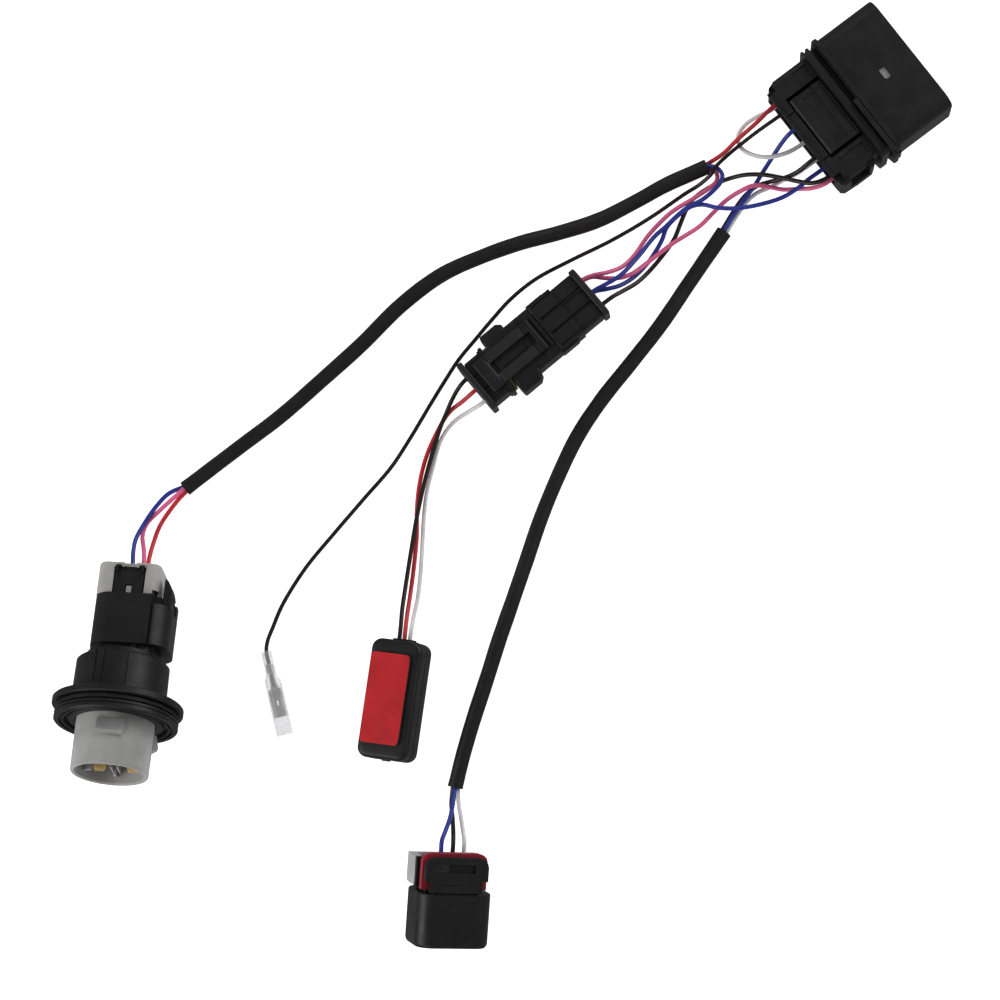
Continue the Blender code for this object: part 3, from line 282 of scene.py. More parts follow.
# colour, lighter worn colour, roughness low and high, metallic, bump in mm, coat
FINISHES = {
    "black_plastic": ((0.0085, 0.0085, 0.0092), (0.020, 0.020, 0.021), (0.36, 0.5), 0.0, 0.018, 0.0),
    "dark_plastic": ((0.018, 0.018, 0.019), (0.034, 0.034, 0.035), (0.36, 0.5), 0.0, 0.018, 0.0),
    "black_rubber": ((0.008, 0.008, 0.008), (0.02, 0.02, 0.02), (0.55, 0.75), 0.0, 0.02, 0.0),
    "grey_plastic": ((0.36, 0.36, 0.355), (0.42, 0.42, 0.415), (0.42, 0.54), 0.0, 0.012, 0.0),
    "light_grey_plastic": ((0.42, 0.415, 0.40), (0.48, 0.47, 0.45), (0.4, 0.52), 0.0, 0.012, 0.0),
    "red_plastic": ((0.30, 0.012, 0.028), (0.42, 0.03, 0.05), (0.35, 0.45), 0.0, 0.012, 0.05),
    "olive_seal": ((0.10, 0.09, 0.02), (0.16, 0.14, 0.04), (0.5, 0.65), 0.0, 0.02, 0.0),
    "tubing": ((0.010, 0.010, 0.0105), (0.018, 0.018, 0.018), (0.34, 0.46), 0.0, 0.03, 0.0),
    "black_wire": ((0.014, 0.010, 0.009), (0.03, 0.024, 0.02), (0.3, 0.42), 0.0, 0.01, 0.05),
    "red_wire": ((0.62, 0.035, 0.045), (0.70, 0.07, 0.08), (0.32, 0.45), 0.0, 0.01, 0.05),
    "blue_wire": ((0.026, 0.045, 0.32), (0.05, 0.08, 0.42), (0.32, 0.45), 0.0, 0.01, 0.05),
    "pink_wire": ((0.80, 0.14, 0.30), (0.86, 0.22, 0.38), (0.32, 0.45), 0.0, 0.01, 0.05),
    "white_wire": ((0.80, 0.78, 0.79), (0.86, 0.85, 0.85), (0.34, 0.46), 0.0, 0.01, 0.05),
    "brass": ((0.86, 0.60, 0.25), (0.92, 0.70, 0.36), (0.3, 0.44), 0.72, 0.01, 0.0),
    "tin": ((0.58, 0.57, 0.55), (0.7, 0.69, 0.67), (0.28, 0.42), 1.0, 0.01, 0.0),
    "strand": ((0.22, 0.13, 0.08), (0.35, 0.22, 0.14), (0.4, 0.55), 0.6, 0.02, 0.0),
    "board_green": ((0.02, 0.11, 0.04), (0.04, 0.16, 0.06), (0.4, 0.5), 0.0, 0.01, 0.0),
    "foam": ((0.03, 0.03, 0.03), (0.05, 0.05, 0.05), (0.8, 0.95), 0.0, 0.06, 0.0),
    "red_liner": ((0.56, 0.020, 0.026), (0.60, 0.03, 0.036), (0.42, 0.5), 0.0, 0.008, 0.0),
    "clear_vinyl": ((0.78, 0.78, 0.79), (0.84, 0.84, 0.84), (0.12, 0.22), 0.0, 0.006, 0.1),
}

# plastics reflect at 0.36 and metals at 0.5, apart from these
SPECULAR = {"red_liner": 0.2}
# clouds of noise: scale, detail and the values that become 0 and 1
MOTTLE = (90.0, 3.0, 0.35, 0.65)
WEAR = (420.0, 6.0, 0.60, 0.78)
UNEVEN = (150.0, 5.0, 0.3, 0.7)
GRAIN = (2600.0, 2.0, 0.3, 0.7)


def finish(name):
    """A procedural material: mottled colour, uneven roughness, worn spots and a fine moulded grain."""
    known = bpy.data.materials.get("look_" + name)
    if known:
        return known
    colour, worn, (smoothest, roughest), metallic, bump, coat = FINISHES[name]
    material = bpy.data.materials.new("look_" + name)
    material.use_nodes = True
    nodes, links = material.node_tree.nodes, material.node_tree.links
    shader = nodes["Principled BSDF"]
    place = nodes.new("ShaderNodeTexCoord")

    def cloud(scale, detail, low, high):
        """Noise over the piece, stretched so that low to high becomes 0 to 1."""
        pattern = nodes.new("ShaderNodeTexNoise")
        preset(pattern, Scale=scale, Detail=detail)
        links.new(place.outputs["Object"], pattern.inputs["Vector"])
        stretch = nodes.new("ShaderNodeMapRange")
        preset(stretch, From_Min=low, From_Max=high)
        links.new(pattern.outputs["Fac"], stretch.inputs["Value"])
        return stretch.outputs["Result"]

    mottle = nodes.new("ShaderNodeMix")
    mottle.data_type = "RGBA"
    darker, lighter = 0.88, 1.1
    mottle.inputs["A"].default_value = (*(c * darker for c in colour), 1.0)
    mottle.inputs["B"].default_value = (*(c * lighter for c in colour), 1.0)
    links.new(cloud(*MOTTLE), mottle.inputs["Factor"])
    wear = nodes.new("ShaderNodeMix")
    wear.data_type = "RGBA"
    wear.inputs["B"].default_value = (*worn, 1.0)
    links.new(mottle.outputs["Result"], wear.inputs["A"])
    links.new(cloud(*WEAR), wear.inputs["Factor"])
    links.new(wear.outputs["Result"], shader.inputs["Base Color"])
    rough = nodes.new("ShaderNodeMapRange")
    preset(rough, To_Min=smoothest, To_Max=roughest)
    links.new(cloud(*UNEVEN), rough.inputs["Value"])
    links.new(rough.outputs["Result"], shader.inputs["Roughness"])
    relief = nodes.new("ShaderNodeBump")
    preset(relief, Distance=bump * MM, Strength=0.6)
    links.new(cloud(*GRAIN), relief.inputs["Height"])
    links.new(relief.outputs["Normal"], shader.inputs["Normal"])
    specular = SPECULAR.get(name, 0.5 if metallic else 0.36)
    preset(shader, Metallic=metallic, Specular_IOR_Level=specular, Coat_Weight=coat)
    if name == "clear_vinyl":
        preset(shader, Transmission_Weight=0.55, Alpha=0.45, IOR=1.2)
    return material


# ---- shapes

def corner_points(width, height, radius, steps):
    """A rounded rectangle round the origin, anticlockwise, with the given steps in each corner."""
    points = []
    for index, (side_x, side_y) in enumerate(((1, 1), (-1, 1), (-1, -1), (1, -1))):
        centre_x = side_x * (width / 2 - radius)
        centre_y = side_y * (height / 2 - radius)
        for step in range(steps + 1):
            angle = math.pi / 2 * (index + step / steps)
            points.append((centre_x + radius * math.cos(angle), centre_y + radius * math.sin(angle)))
    return points


def loft(rings, steps=7, along="Y", closed=False):
    """A solid through rounded rectangles: each ring is level, width, height, radius[, centre a, centre b]."""
    builder = bmesh.new()
    loops = []
    for level, width, height, radius, *centre in rings:
        shift_a, shift_b = centre or (0.0, 0.0)
        loop = []
        for a, b in corner_points(width, height, radius, steps):
            a, b = a + shift_a, b + shift_b
            loop.append(builder.verts.new((a, level, b) if along == "Y" else (a, b, level)))
        loops.append(loop)
    pairs = list(zip(loops, loops[1:]))
    if closed:
        pairs.append((loops[-1], loops[0]))
    else:
        builder.faces.new(loops[0])
        builder.faces.new(loops[-1])
    for near, far in pairs:
        for index, corner in enumerate(near):
            after = (index + 1) % len(near)
            builder.faces.new((corner, near[after], far[after], far[index]))
    return builder


def disc(level, diameter):
    """A round ring for loft: its corner radius is almost half its width."""
    return level, diameter, diameter, diameter / 2 - 0.001


def prism(outline, low, high, along="Z"):
    """An outline drawn in XY, XZ or YZ and pulled along the remaining axis."""
    builder = bmesh.new()
    spot = {
        "X": lambda a, b, level: (level, a, b), "Y": lambda a, b, level: (a, level, b),
        "Z": lambda a, b, level: (a, b, level),
    }[along]
    near = [builder.verts.new(spot(a, b, low)) for a, b in outline]
    far = [builder.verts.new(spot(a, b, high)) for a, b in outline]
    builder.faces.new(near)
    builder.faces.new(far)
    for index, corner in enumerate(near):
        after = (index + 1) % len(near)
        builder.faces.new((corner, near[after], far[after], far[index]))
    return builder


def boxes(*spans):
    """Separate boxes in one mesh, each given as x, y and z spans."""
    builder = bmesh.new()
    for x0, x1, y0, y1, z0, z1 in spans:
        made = bmesh.ops.create_cube(builder, size=1.0)["verts"]
        bmesh.ops.scale(builder, vec=(x1 - x0, y1 - y0, z1 - z0), verts=made)
        bmesh.ops.translate(builder, vec=((x0 + x1) / 2, (y0 + y1) / 2, (z0 + z1) / 2), verts=made)
    return builder


def both(x0, x1, *rest):
    """The same box on the left and on the right."""
    return (-x1, -x0, *rest), (x0, x1, *rest)


def drills(centres, diameter, low, high):
    """Round cutters along Y at the given x, z centres."""
    builder = bmesh.new()
    radius = diameter / 2
    for x, z in centres:
        made = bmesh.ops.create_cone(
            builder, cap_ends=True, segments=DRILL_SIDES, radius1=radius, radius2=radius, depth=high - low
        )["verts"]
        bmesh.ops.rotate(builder, cent=(0, 0, 0), matrix=Matrix.Rotation(math.pi / 2, 3, "X"), verts=made)
        bmesh.ops.translate(builder, vec=(x, (low + high) / 2, z), verts=made)
    return builder


def turned(builder, degrees):
    """The shape turned about its unit's axis."""
    turn = Matrix.Rotation(math.radians(degrees), 3, "Y")
    bmesh.ops.rotate(builder, cent=(0, 0, 0), matrix=turn, verts=builder.verts)
    return builder


def unit_matrix(unit):
    """From a unit's own millimetres to the shared frame's metres."""
    x, y, height, yaw, pitch, roll = PLACES[unit]
    turn = Euler([math.radians(angle) for angle in (pitch, roll, yaw)]).to_matrix().to_4x4()
    return Matrix.Translation((x * MM, y * MM, height * MM)) @ turn @ Matrix.Scale(MM, 4)


def raw(name, builder):
    """An object in the scene from a builder's mesh."""
    bmesh.ops.recalc_face_normals(builder, faces=builder.faces)
    mesh = bpy.data.meshes.new(name)
    builder.to_mesh(mesh)
    builder.free()
    return placed(name, mesh)


def dressed(item, body, material, nodes):
    """Gives a piece its finish, the body it moves with and the CAD nodes that it stands for."""
    item.data.materials.clear()
    item.data.materials.append(finish(material))
    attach(item, body)
    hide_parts(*nodes)
    return item


def ease_edges(item, width, segments, degrees):
    """Rounds every edge that turns by more than the given angle."""
    ease = item.modifiers.new("Edges", "BEVEL")
    ease.width = width
    ease.segments = segments
    ease.limit_method = "ANGLE"
    ease.angle_limit = math.radians(degrees)


def applied(item):
    """Makes the modifiers part of the mesh."""
    depsgraph = bpy.context.evaluated_depsgraph_get()
    shaped = bpy.data.meshes.new_from_object(item.evaluated_get(depsgraph))
    item.modifiers.clear()
    item.data = shaped


def piece(name, builder, body, nodes=(), material="black_plastic", cuts=(), welds=(), edge=0.25):
    """A finished piece: welded and cut, its edges eased, then set in its place by the unit in its name."""
    item = raw(name, builder)
    tools = []
    steps = [(weld, "UNION") for weld in welds] + [(cut, "DIFFERENCE") for cut in cuts]
    for number, (tool, operation) in enumerate(steps):
        tools.append(raw(f"{name}_tool_{number}", tool))
        change = item.modifiers.new("Shape", "BOOLEAN")
        change.operation = operation
        change.object = tools[-1]
        change.use_self = True
    ease_edges(item, edge, EDGE_SEGMENTS, EASED_ANGLE)
    applied(item)
    for tool in tools:
        bpy.data.objects.remove(tool, do_unlink=True)
    item.data.shade_smooth()
    item.data.set_sharp_from_angle(angle=math.radians(SHARP_ANGLE))
    even = item.modifiers.new("Even", "WEIGHTED_NORMAL")
    even.keep_sharp = True
    applied(item)
    item.data.transform(unit_matrix(name.split("_")[0]))
    return dressed(item, body, material, nodes)


def keep(node, material, edge=0.1):
    """A CAD node that is shown as it is, with a finish and eased edges."""
    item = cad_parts[node]
    item.data.materials.clear()
    item.data.materials.append(finish(material))
    ease_edges(item, edge * MM, CAD_EDGE_SEGMENTS, CAD_EASED_ANGLE)


# ---- wires and tubing

def smooth(points, step):
    """Points evenly spaced, about step apart, along a centripetal curve through the route's own points."""
    route = [Vector(point) for point in points]
    route = [2 * route[0] - route[1], *route, 2 * route[-1] - route[-2]]
    fine = []
    for a, b, c, d in zip(route, route[1:], route[2:], route[3:]):
        times = [0.0]
        for start, end in ((a, b), (b, c), (c, d)):
            times.append(times[-1] + math.sqrt((end - start).length))
        for part in range(CURVE_PARTS):
            time = times[1] + (times[2] - times[1]) * part / CURVE_PARTS
            ab = a.lerp(b, (time - times[0]) / (times[1] - times[0]))
            bc = b.lerp(c, (time - times[1]) / (times[2] - times[1]))
            cd = c.lerp(d, (time - times[2]) / (times[3] - times[2]))
            abc = ab.lerp(bc, (time - times[0]) / (times[2] - times[0]))
            bcd = bc.lerp(cd, (time - times[1]) / (times[3] - times[1]))
            fine.append(abc.lerp(bcd, (time - times[1]) / (times[2] - times[1])))
    fine.append(route[-2])
    reach = [0.0]
    for start, end in zip(fine, fine[1:]):
        reach.append(reach[-1] + (end - start).length)
    count = max(2, round(reach[-1] / step))
    even = []
    index = 0
    for part in range(count + 1):
        want = reach[-1] * part / count
        while index < len(reach) - 2 and reach[index + 1] < want:
            index += 1
        share = (want - reach[index]) / (reach[index + 1] - reach[index])
        even.append(fine[index].lerp(fine[index + 1], min(max(share, 0.0), 1.0)))
    return even


def beside(stations, first_angle, last_angle):
    """A bundled wire's own line: it keeps BUNDLE_RADIUS from the tubing's middle and turns round it."""
    line = []
    last = len(stations) - 1
    for index, station in enumerate(stations):
        along = stations[min(index + 1, last)] - stations[max(index - 1, 0)]
        left = Vector((-along.y, along.x, 0.0)).normalized()
        angle = math.radians(first_angle + (last_angle - first_angle) * index / last)
        line.append(station + BUNDLE_RADIUS * (math.cos(angle) * left + math.sin(angle) * UP))
    return line


def bundled(start, stations, end):
    """One wire's whole line: its free start, its way through the tubing and its free end."""
    before = smooth([*start, stations[0]], FREE_SPACING)[:-1]
    after = smooth([stations[-1], *end], FREE_SPACING)[1:]
    return before + stations + after


def settled(line, diameter):
    """The line in metres, with no point lower than the wire can lie."""
    return [Vector((x, y, max(z, diameter / 2))) * MM for x, y, z in line]


def wire(node, line, diameter, material, body="harness"):
    """An insulated wire as a bevelled curve."""
    line = settled(line, diameter)
    data = bpy.data.curves.new(node + "_insulation", "CURVE")
    data.dimensions = "3D"
    spline = data.splines.new("POLY")
    spline.points.add(len(line) - 1)
    for point, spot in zip(spline.points, line):
        point.co = (*spot, 1.0)
    spline.use_smooth = True
    data.bevel_depth = diameter / 2 * MM
    data.bevel_resolution = 5
    data.use_fill_caps = True
    item = placed(node + "_insulation", data)
    dressed(item, body, material, (node,))


def sleeve(node, line, seed):
    """Open shrink tubing whose wall shows the three wires that it holds as soft, slowly turning lobes."""
    sides = 30
    lobe_depth, lobe_turn, lump_depth = 0.028, 0.035, 0.02
    drawn_in, swell, flare, flare_points = 0.97, 0.05, 0.03, 2.0
    line = settled(line, SLEEVE_DIAMETER)
    last = len(line) - 1
    builder = bmesh.new()
    walls = {"outer": [], "inner": []}
    for index, spot in enumerate(line):
        along = (line[min(index + 1, last)] - line[max(index - 1, 0)]).normalized()
        left = UP.cross(along).normalized()
        above = along.cross(left)
        shrink = drawn_in + swell * noise.noise(Vector((index * 0.11, seed, 0.0)))
        mouth = min(index, last - index)
        shrink += flare * max(0.0, 1.0 - mouth / flare_points)
        for wall, radius in (("outer", SLEEVE_DIAMETER / 2), ("inner", SLEEVE_BORE / 2)):
            loop = []
            for side in range(sides):
                angle = 2 * math.pi * side / sides
                lobe = lobe_depth * math.cos(3 * (angle - index * lobe_turn - seed))
                cos, sin = math.cos(angle), math.sin(angle)
                lump = lump_depth * noise.noise(Vector((cos, sin, index * 0.35 + seed)))
                reach = radius * MM * (shrink + lobe + lump)
                loop.append(builder.verts.new(spot + reach * cos * left + reach * sin * above))
            walls[wall].append(loop)
    outer, inner = walls["outer"], walls["inner"]
    bands = list(zip(outer, outer[1:])) + list(zip(inner[1:], inner))
    bands += [(inner[0], outer[0]), (outer[-1], inner[-1])]
    for near, far in bands:
        for side, corner in enumerate(near):
            after = (side + 1) % sides
            builder.faces.new((corner, near[after], far[after], far[side]))
    item = raw(node + "_tube", builder)
    item.data.shade_smooth()
    item.data.set_sharp_from_angle(angle=math.radians(TUBE_SHARP_ANGLE))
    dressed(item, "harness", "tubing", (node,))


def wires():
    """Two tubes with three wires each, the thin lead and the single wires."""
    lamp_line, tail_line = [
        smooth([(x, y, SLEEVE_HEIGHT) for x, y in route], SLEEVE_SPACING)
        for route in (LAMP_SLEEVE_ROUTE, TAIL_SLEEVE_ROUTE)
    ]
    sleeve("lamp_sleeve", lamp_line, 0.4)
    sleeve("tail_sleeve", tail_line, 1.7)
    bundles = [
        ("red_lamp_wire", RED_LAMP_START, lamp_line, 210, 330, RED_LAMP_END, "red_wire"),
        ("blue_lamp_wire", BLUE_LAMP_START, lamp_line, 90, 210, BLUE_LAMP_END, "blue_wire"),
        ("pink_lamp_wire", PINK_LAMP_START, lamp_line, 330, 450, PINK_LAMP_END, "pink_wire"),
        ("blue_tail_wire", BLUE_TAIL_START, tail_line, 90, 90, BLUE_TAIL_END, "blue_wire"),
        ("black_tail_wire", BLACK_TAIL_START, tail_line, 210, 210, BLACK_TAIL_END, "black_wire"),
        ("white_tail_wire", WHITE_TAIL_START, tail_line, 330, 330, WHITE_TAIL_END, "white_wire"),
    ]
    for node, start, line, first, last, end, material in bundles:
        wire(node, bundled(start, beside(line, first, last), end), WIRE_DIAMETER, material)
    wire("black_trigger_wire", smooth(TRIGGER_ROUTE, FREE_SPACING), THIN_WIRE_DIAMETER, "black_wire")
    singles = [
        ("white_jumper_wire", JUMPER_ROUTE, "white_wire", "harness"),
        ("black_feed_wire", BLACK_FEED_ROUTE, "black_wire", "harness"),
        ("pink_feed_wire", PINK_FEED_ROUTE, "pink_wire", "harness"),
        ("blue_feed_wire", BLUE_FEED_ROUTE, "blue_wire", "harness"),
        ("module_black_wire", MODULE_BLACK_ROUTE, "black_wire", "module_unit"),
        ("module_red_wire", MODULE_RED_ROUTE, "red_wire", "module_unit"),
        ("module_white_wire", MODULE_WHITE_ROUTE, "white_wire", "module_unit"),
    ]
    for node, route, material, body in singles:
        wire(node, smooth(route, FREE_SPACING), WIRE_DIAMETER, material, body)


# ---- main connector

MAIN_BLOCK = (48.0, 22.0, 2.5)
MAIN_PLUG_FLANGE = (53.0, 27.0, 4.0)
MAIN_NOSE = (45.0, 18.0, 3.0)
MAIN_FLANGE = (55.4, 31.0, 5.0, 0.4, 0.0)
MAIN_SHROUD = (53.2, 26.2, 5.6)
MAIN_MOUTH = (49.6, 22.6, 4.2)
MAIN_PINS = ((-15.0, 4.5), (-5.0, 4.5), (5.0, 4.5), (15.0, 4.5), (-10.0, -4.5), (0.0, -4.5), (10.0, -4.5))


def main_pin_slots():
    return boxes(*[(x - 1.3, x + 1.3, 25.4, 43.8, z - 0.9, z + 0.9) for x, z in MAIN_PINS])


def main_connector():
    """The wide plug with its press pad, and the adapter half with its long shroud."""
    recess = (43.0, 12.0, 2.0, 0.0, -2.5)
    side_block = [
        (21.0, -1.8), (25.0, -1.8), (26.2, -0.4), (26.6, 6.0), (26.6, 12.8), (25.2, 14.8), (21.0, 14.8),
    ]
    mirror_block = [(-x * 0.92, max(y, 1.0)) for x, y in side_block]
    piece("main_housing", loft([
        (3.2, *recess), (-1.5, *recess), (-1.5, *MAIN_BLOCK), (17.2, *MAIN_BLOCK),
        (17.2, *MAIN_PLUG_FLANGE), (20.2, *MAIN_PLUG_FLANGE), (20.2, *MAIN_NOSE), (34.0, *MAIN_NOSE),
    ]), "harness", ["main_plug_housing"], welds=[
        prism(side_block, -8.0, 7.4), prism(mirror_block, -8.0, 6.0),
        boxes((-20.5, -15.6, -2.4, 2.0, 4.0, 9.8), (16.0, 22.6, -2.4, 1.6, 3.6, 9.6)),
        boxes((-21.0, 21.6, -3.2, -0.8, 8.2, 10.7)),
    ], cuts=[
        boxes((-14.8, 14.8, 1.0, 17.0, 5.0, 16.0), (-27.0, -23.4, 3.6, 12.4, -6.0, 3.4),
              (24.4, 27.4, 2.4, 11.4, -3.0, 9.0)),
        boxes((-9.1, -8.6, -3.0, 1.4, 8.0, 12.0), (13.1, 13.6, -3.2, 1.4, 8.0, 12.0),
              (-21.6, -15.4, 9.0, 15.8, 10.3, 12.0), (16.6, 21.4, 3.0, 14.4, 10.3, 12.0)),
        boxes((-22.4, -19.8, -3.0, 0.2, 8.2, 12.0), (21.0, 24.2, -3.0, 0.4, 7.4, 12.0),
              (-28.0, -24.8, 17.9, 19.5, -14.0, 14.0)),
        prism([(-26.0, -3.0), (-26.0, 3.0), (-23.4, 1.2), (-21.8, -3.0)], -14.0, 14.0),
        main_pin_slots(),
    ], edge=0.32)
    piece("main_latch_pad", prism([
        (1.6, 8.6), (15.0, 8.6), (15.0, 5.4), (16.8, 5.4), (17.0, 10.7), (16.5, 11.3), (2.6, 11.3),
        (1.6, 10.3),
    ], -13.2, 13.2, "X"), "main_latch", ["main_plug_latch"], cuts=[
        boxes((-14.0, 11.3, 5.7, 12.2, 10.75, 13.0), (-11.0, 10.4, 6.6, 11.3, 10.25, 13.0)),
        boxes((-12.4, 12.4, 15.1, 15.5, 10.6, 13.0)),
        boxes(*[(x, x + 0.5, 12.9, 14.6, 10.95, 13.0) for x in (-11.2, 10.6)]),
    ], edge=0.22)
    socket = (46.2, 19.2, 3.4)
    step = (53.4, 27.4, 4.6)
    window = (5.2, 3.1, 1.3, 0.6, 37.95)
    piece("main_shroud", loft([
        (34.8, *socket), (22.6, *socket), (22.6, *step), (23.1, *step),
        (23.2, *MAIN_FLANGE), (24.8, *MAIN_FLANGE),
        (25.2, *MAIN_SHROUD), (51.1, *MAIN_SHROUD), (51.5, 52.6, 25.6, 5.3),
        (51.5, *MAIN_MOUTH), (37.2, *MAIN_MOUTH),
    ]), "main_adapter", ["main_adapter_shell"], welds=[
        boxes((26.4, 28.8, 22.9, 25.0, -2.0, 7.0)),
        prism([(2.4, 14.2), (27.6, 14.2), (27.6, 15.7), (2.4, 15.7)], 20.9, 22.8, "Y"),
    ], cuts=[
        main_pin_slots(), loft([(9.0, *window), (16.0, *window)], along="Z"),
    ], edge=0.28)
    piece("main_shroud_ribs", boxes(
        (-0.5, 0.5, 44.0, 51.0, -11.2, -9.6), *both(15.5, 16.5, 44.0, 51.0, -11.2, -9.6),
        (-16.5, -15.5, 44.0, 51.0, 9.6, 11.2),
    ), "main_adapter", edge=0.15)
    piece("main_retainer_tab", boxes((-1.9, 3.1, 36.6, 39.4, 9.2, 12.0)), "main_adapter",
          material="light_grey_plastic", edge=0.2)
    keep("main_wire_seal", "black_rubber")
    keep("main_adapter_gasket", "black_rubber", 0.3)
    keep("main_adapter_retainer", "light_grey_plastic", 0.3)
    for number in range(1, len(MAIN_PINS) + 1):
        keep(f"main_pin_{number}", "tin")


# ---- lamp connector

LAMP_COLLAR = (31.2, 25.0, 8.0, -2.5, 0.0)
LAMP_NOSE = 29.8
LAMP_BODY = 36.6
LAMP_FLANGE = 51.4
LAMP_LIP = 48.6
LAMP_GROOVE = 45.0
LAMP_SOCKET = 30.8
LAMP_BORE = 27.0
LAMP_LENGTH = 84.0
LAMP_BLADES = ((4.6, -2.6), (-8.6, -2.6), (-2.0, 6.4))


def blade_slots():
    return boxes(*[(x - 2.7, x + 2.7, 44.2, 65.6, z - 0.7, z + 0.7) for x, z in LAMP_BLADES])


def lamp_connector():
    """The plug half of the round connector: collar, lock frame and side lever."""
    recess = (18.0, 13.0, 2.0)
    tail = (21.6, 18.0, 3.0)
    neck = (26.0, 21.0, 6.0)
    piece("lamp_housing", loft([
        (5.2, *recess), (1.4, *recess), (1.4, *tail), (13.3, *tail), (13.3, *LAMP_COLLAR),
        (34.0, *LAMP_COLLAR), (34.0, *neck), (36.4, *neck), disc(36.4, LAMP_NOSE), disc(51.2, LAMP_NOSE),
    ], steps=10), "harness", ["lamp_plug_housing"], welds=[
        boxes((-5.7, 5.7, 2.2, 15.4, 6.8, 10.3), *both(3.6, 5.7, 1.2, 4.0, 8.6, 10.9)),
        prism([
            (-8.0, 11.0), (-9.0, 12.7), (-12.2, 12.5), (-15.2, 10.6), (-17.6, 7.4), (-17.6, 2.0),
            (-14.0, 0.0),
        ], 18.4, 33.2, "Y"),
        boxes((8.0, 10.0, 33.6, 38.6, 7.0, 9.6), (-6.4, -4.8, 33.6, 38.6, 9.4, 11.6),
              (-12.8, -10.4, 33.6, 38.6, 6.2, 9.0)),
    ], cuts=[
        boxes((-11.4, -10.4, 12.9, 34.6, 10.9, 14.0), (-20.0, -13.6, 12.9, 18.4, -1.2, 9.2)),
        boxes((-1.7, 1.2, 9.2, 13.2, 8.9, 12.0), (-4.6, 4.6, 2.0, 7.4, 9.6, 12.0),
              (-3.0, 2.6, 1.0, 3.4, 8.6, 12.0), (-20.0, -11.4, 12.9, 17.2, 8.9, 14.0)),
        blade_slots(),
    ], edge=0.35)
    piece("lamp_lock_tab", boxes((-1.4, 0.9, 9.6, 12.9, 8.6, 9.9)), "lamp_lock", material="grey_plastic",
          edge=0.2)
    hole = (18.8, 14.4, 2.0)
    inside = (22.2, 18.6, 3.2)
    outside = (25.0, 20.4, 4.0, 0.5, 0.0)
    piece("lamp_lock_frame", loft([
        (-0.3, *hole), (1.1, *hole), (1.1, *inside), (13.1, *inside), (13.1, *outside), (0.4, *outside),
        (-0.3, 24.0, 19.4, 3.6, 0.5, 0.0),
    ], closed=True), "lamp_lock", ["lamp_plug_lock"], "light_grey_plastic", cuts=[
        boxes((-6.3, 6.3, 1.7, 14.0, 8.0, 12.0)),
        boxes((-2.2, 2.6, -1.0, 2.4, 8.4, 12.0), (-14.0, -9.6, 10.8, 14.0, 6.0, 12.0)),
    ], edge=0.35)
    piece("lamp_lever", prism([
        (-14.0, 5.2), (-15.4, 6.2), (-16.6, 8.2), (-17.3, 10.4), (-17.6, 12.0), (-17.6, 17.2), (-16.9, 18.0),
        (-14.9, 18.2), (-14.0, 17.0),
    ], -0.6, 8.6), "lamp_latch", ["lamp_plug_latch"], cuts=[
        boxes((-18.4, -17.0, 12.6, 13.2, -1.0, 9.0), (-18.4, -17.0, 14.4, 15.0, -1.0, 9.0)),
    ], edge=0.4)
    lamp_adapter()
    keep("lamp_wire_seal", "black_rubber")
    keep("lamp_adapter_o_ring", "black_rubber", 0.4)
    for number in range(1, len(LAMP_BLADES) + 1):
        keep(f"lamp_blade_{number}", "brass", 0.12)


def body_rib(width, height, degrees):
    """A rib along the adapter's body, turned round the axis from the top towards -X."""
    radius = LAMP_BODY / 2
    return turned(boxes((-width / 2, width / 2, 38.9, 55.6, radius - 1.0, radius + height)), -degrees)


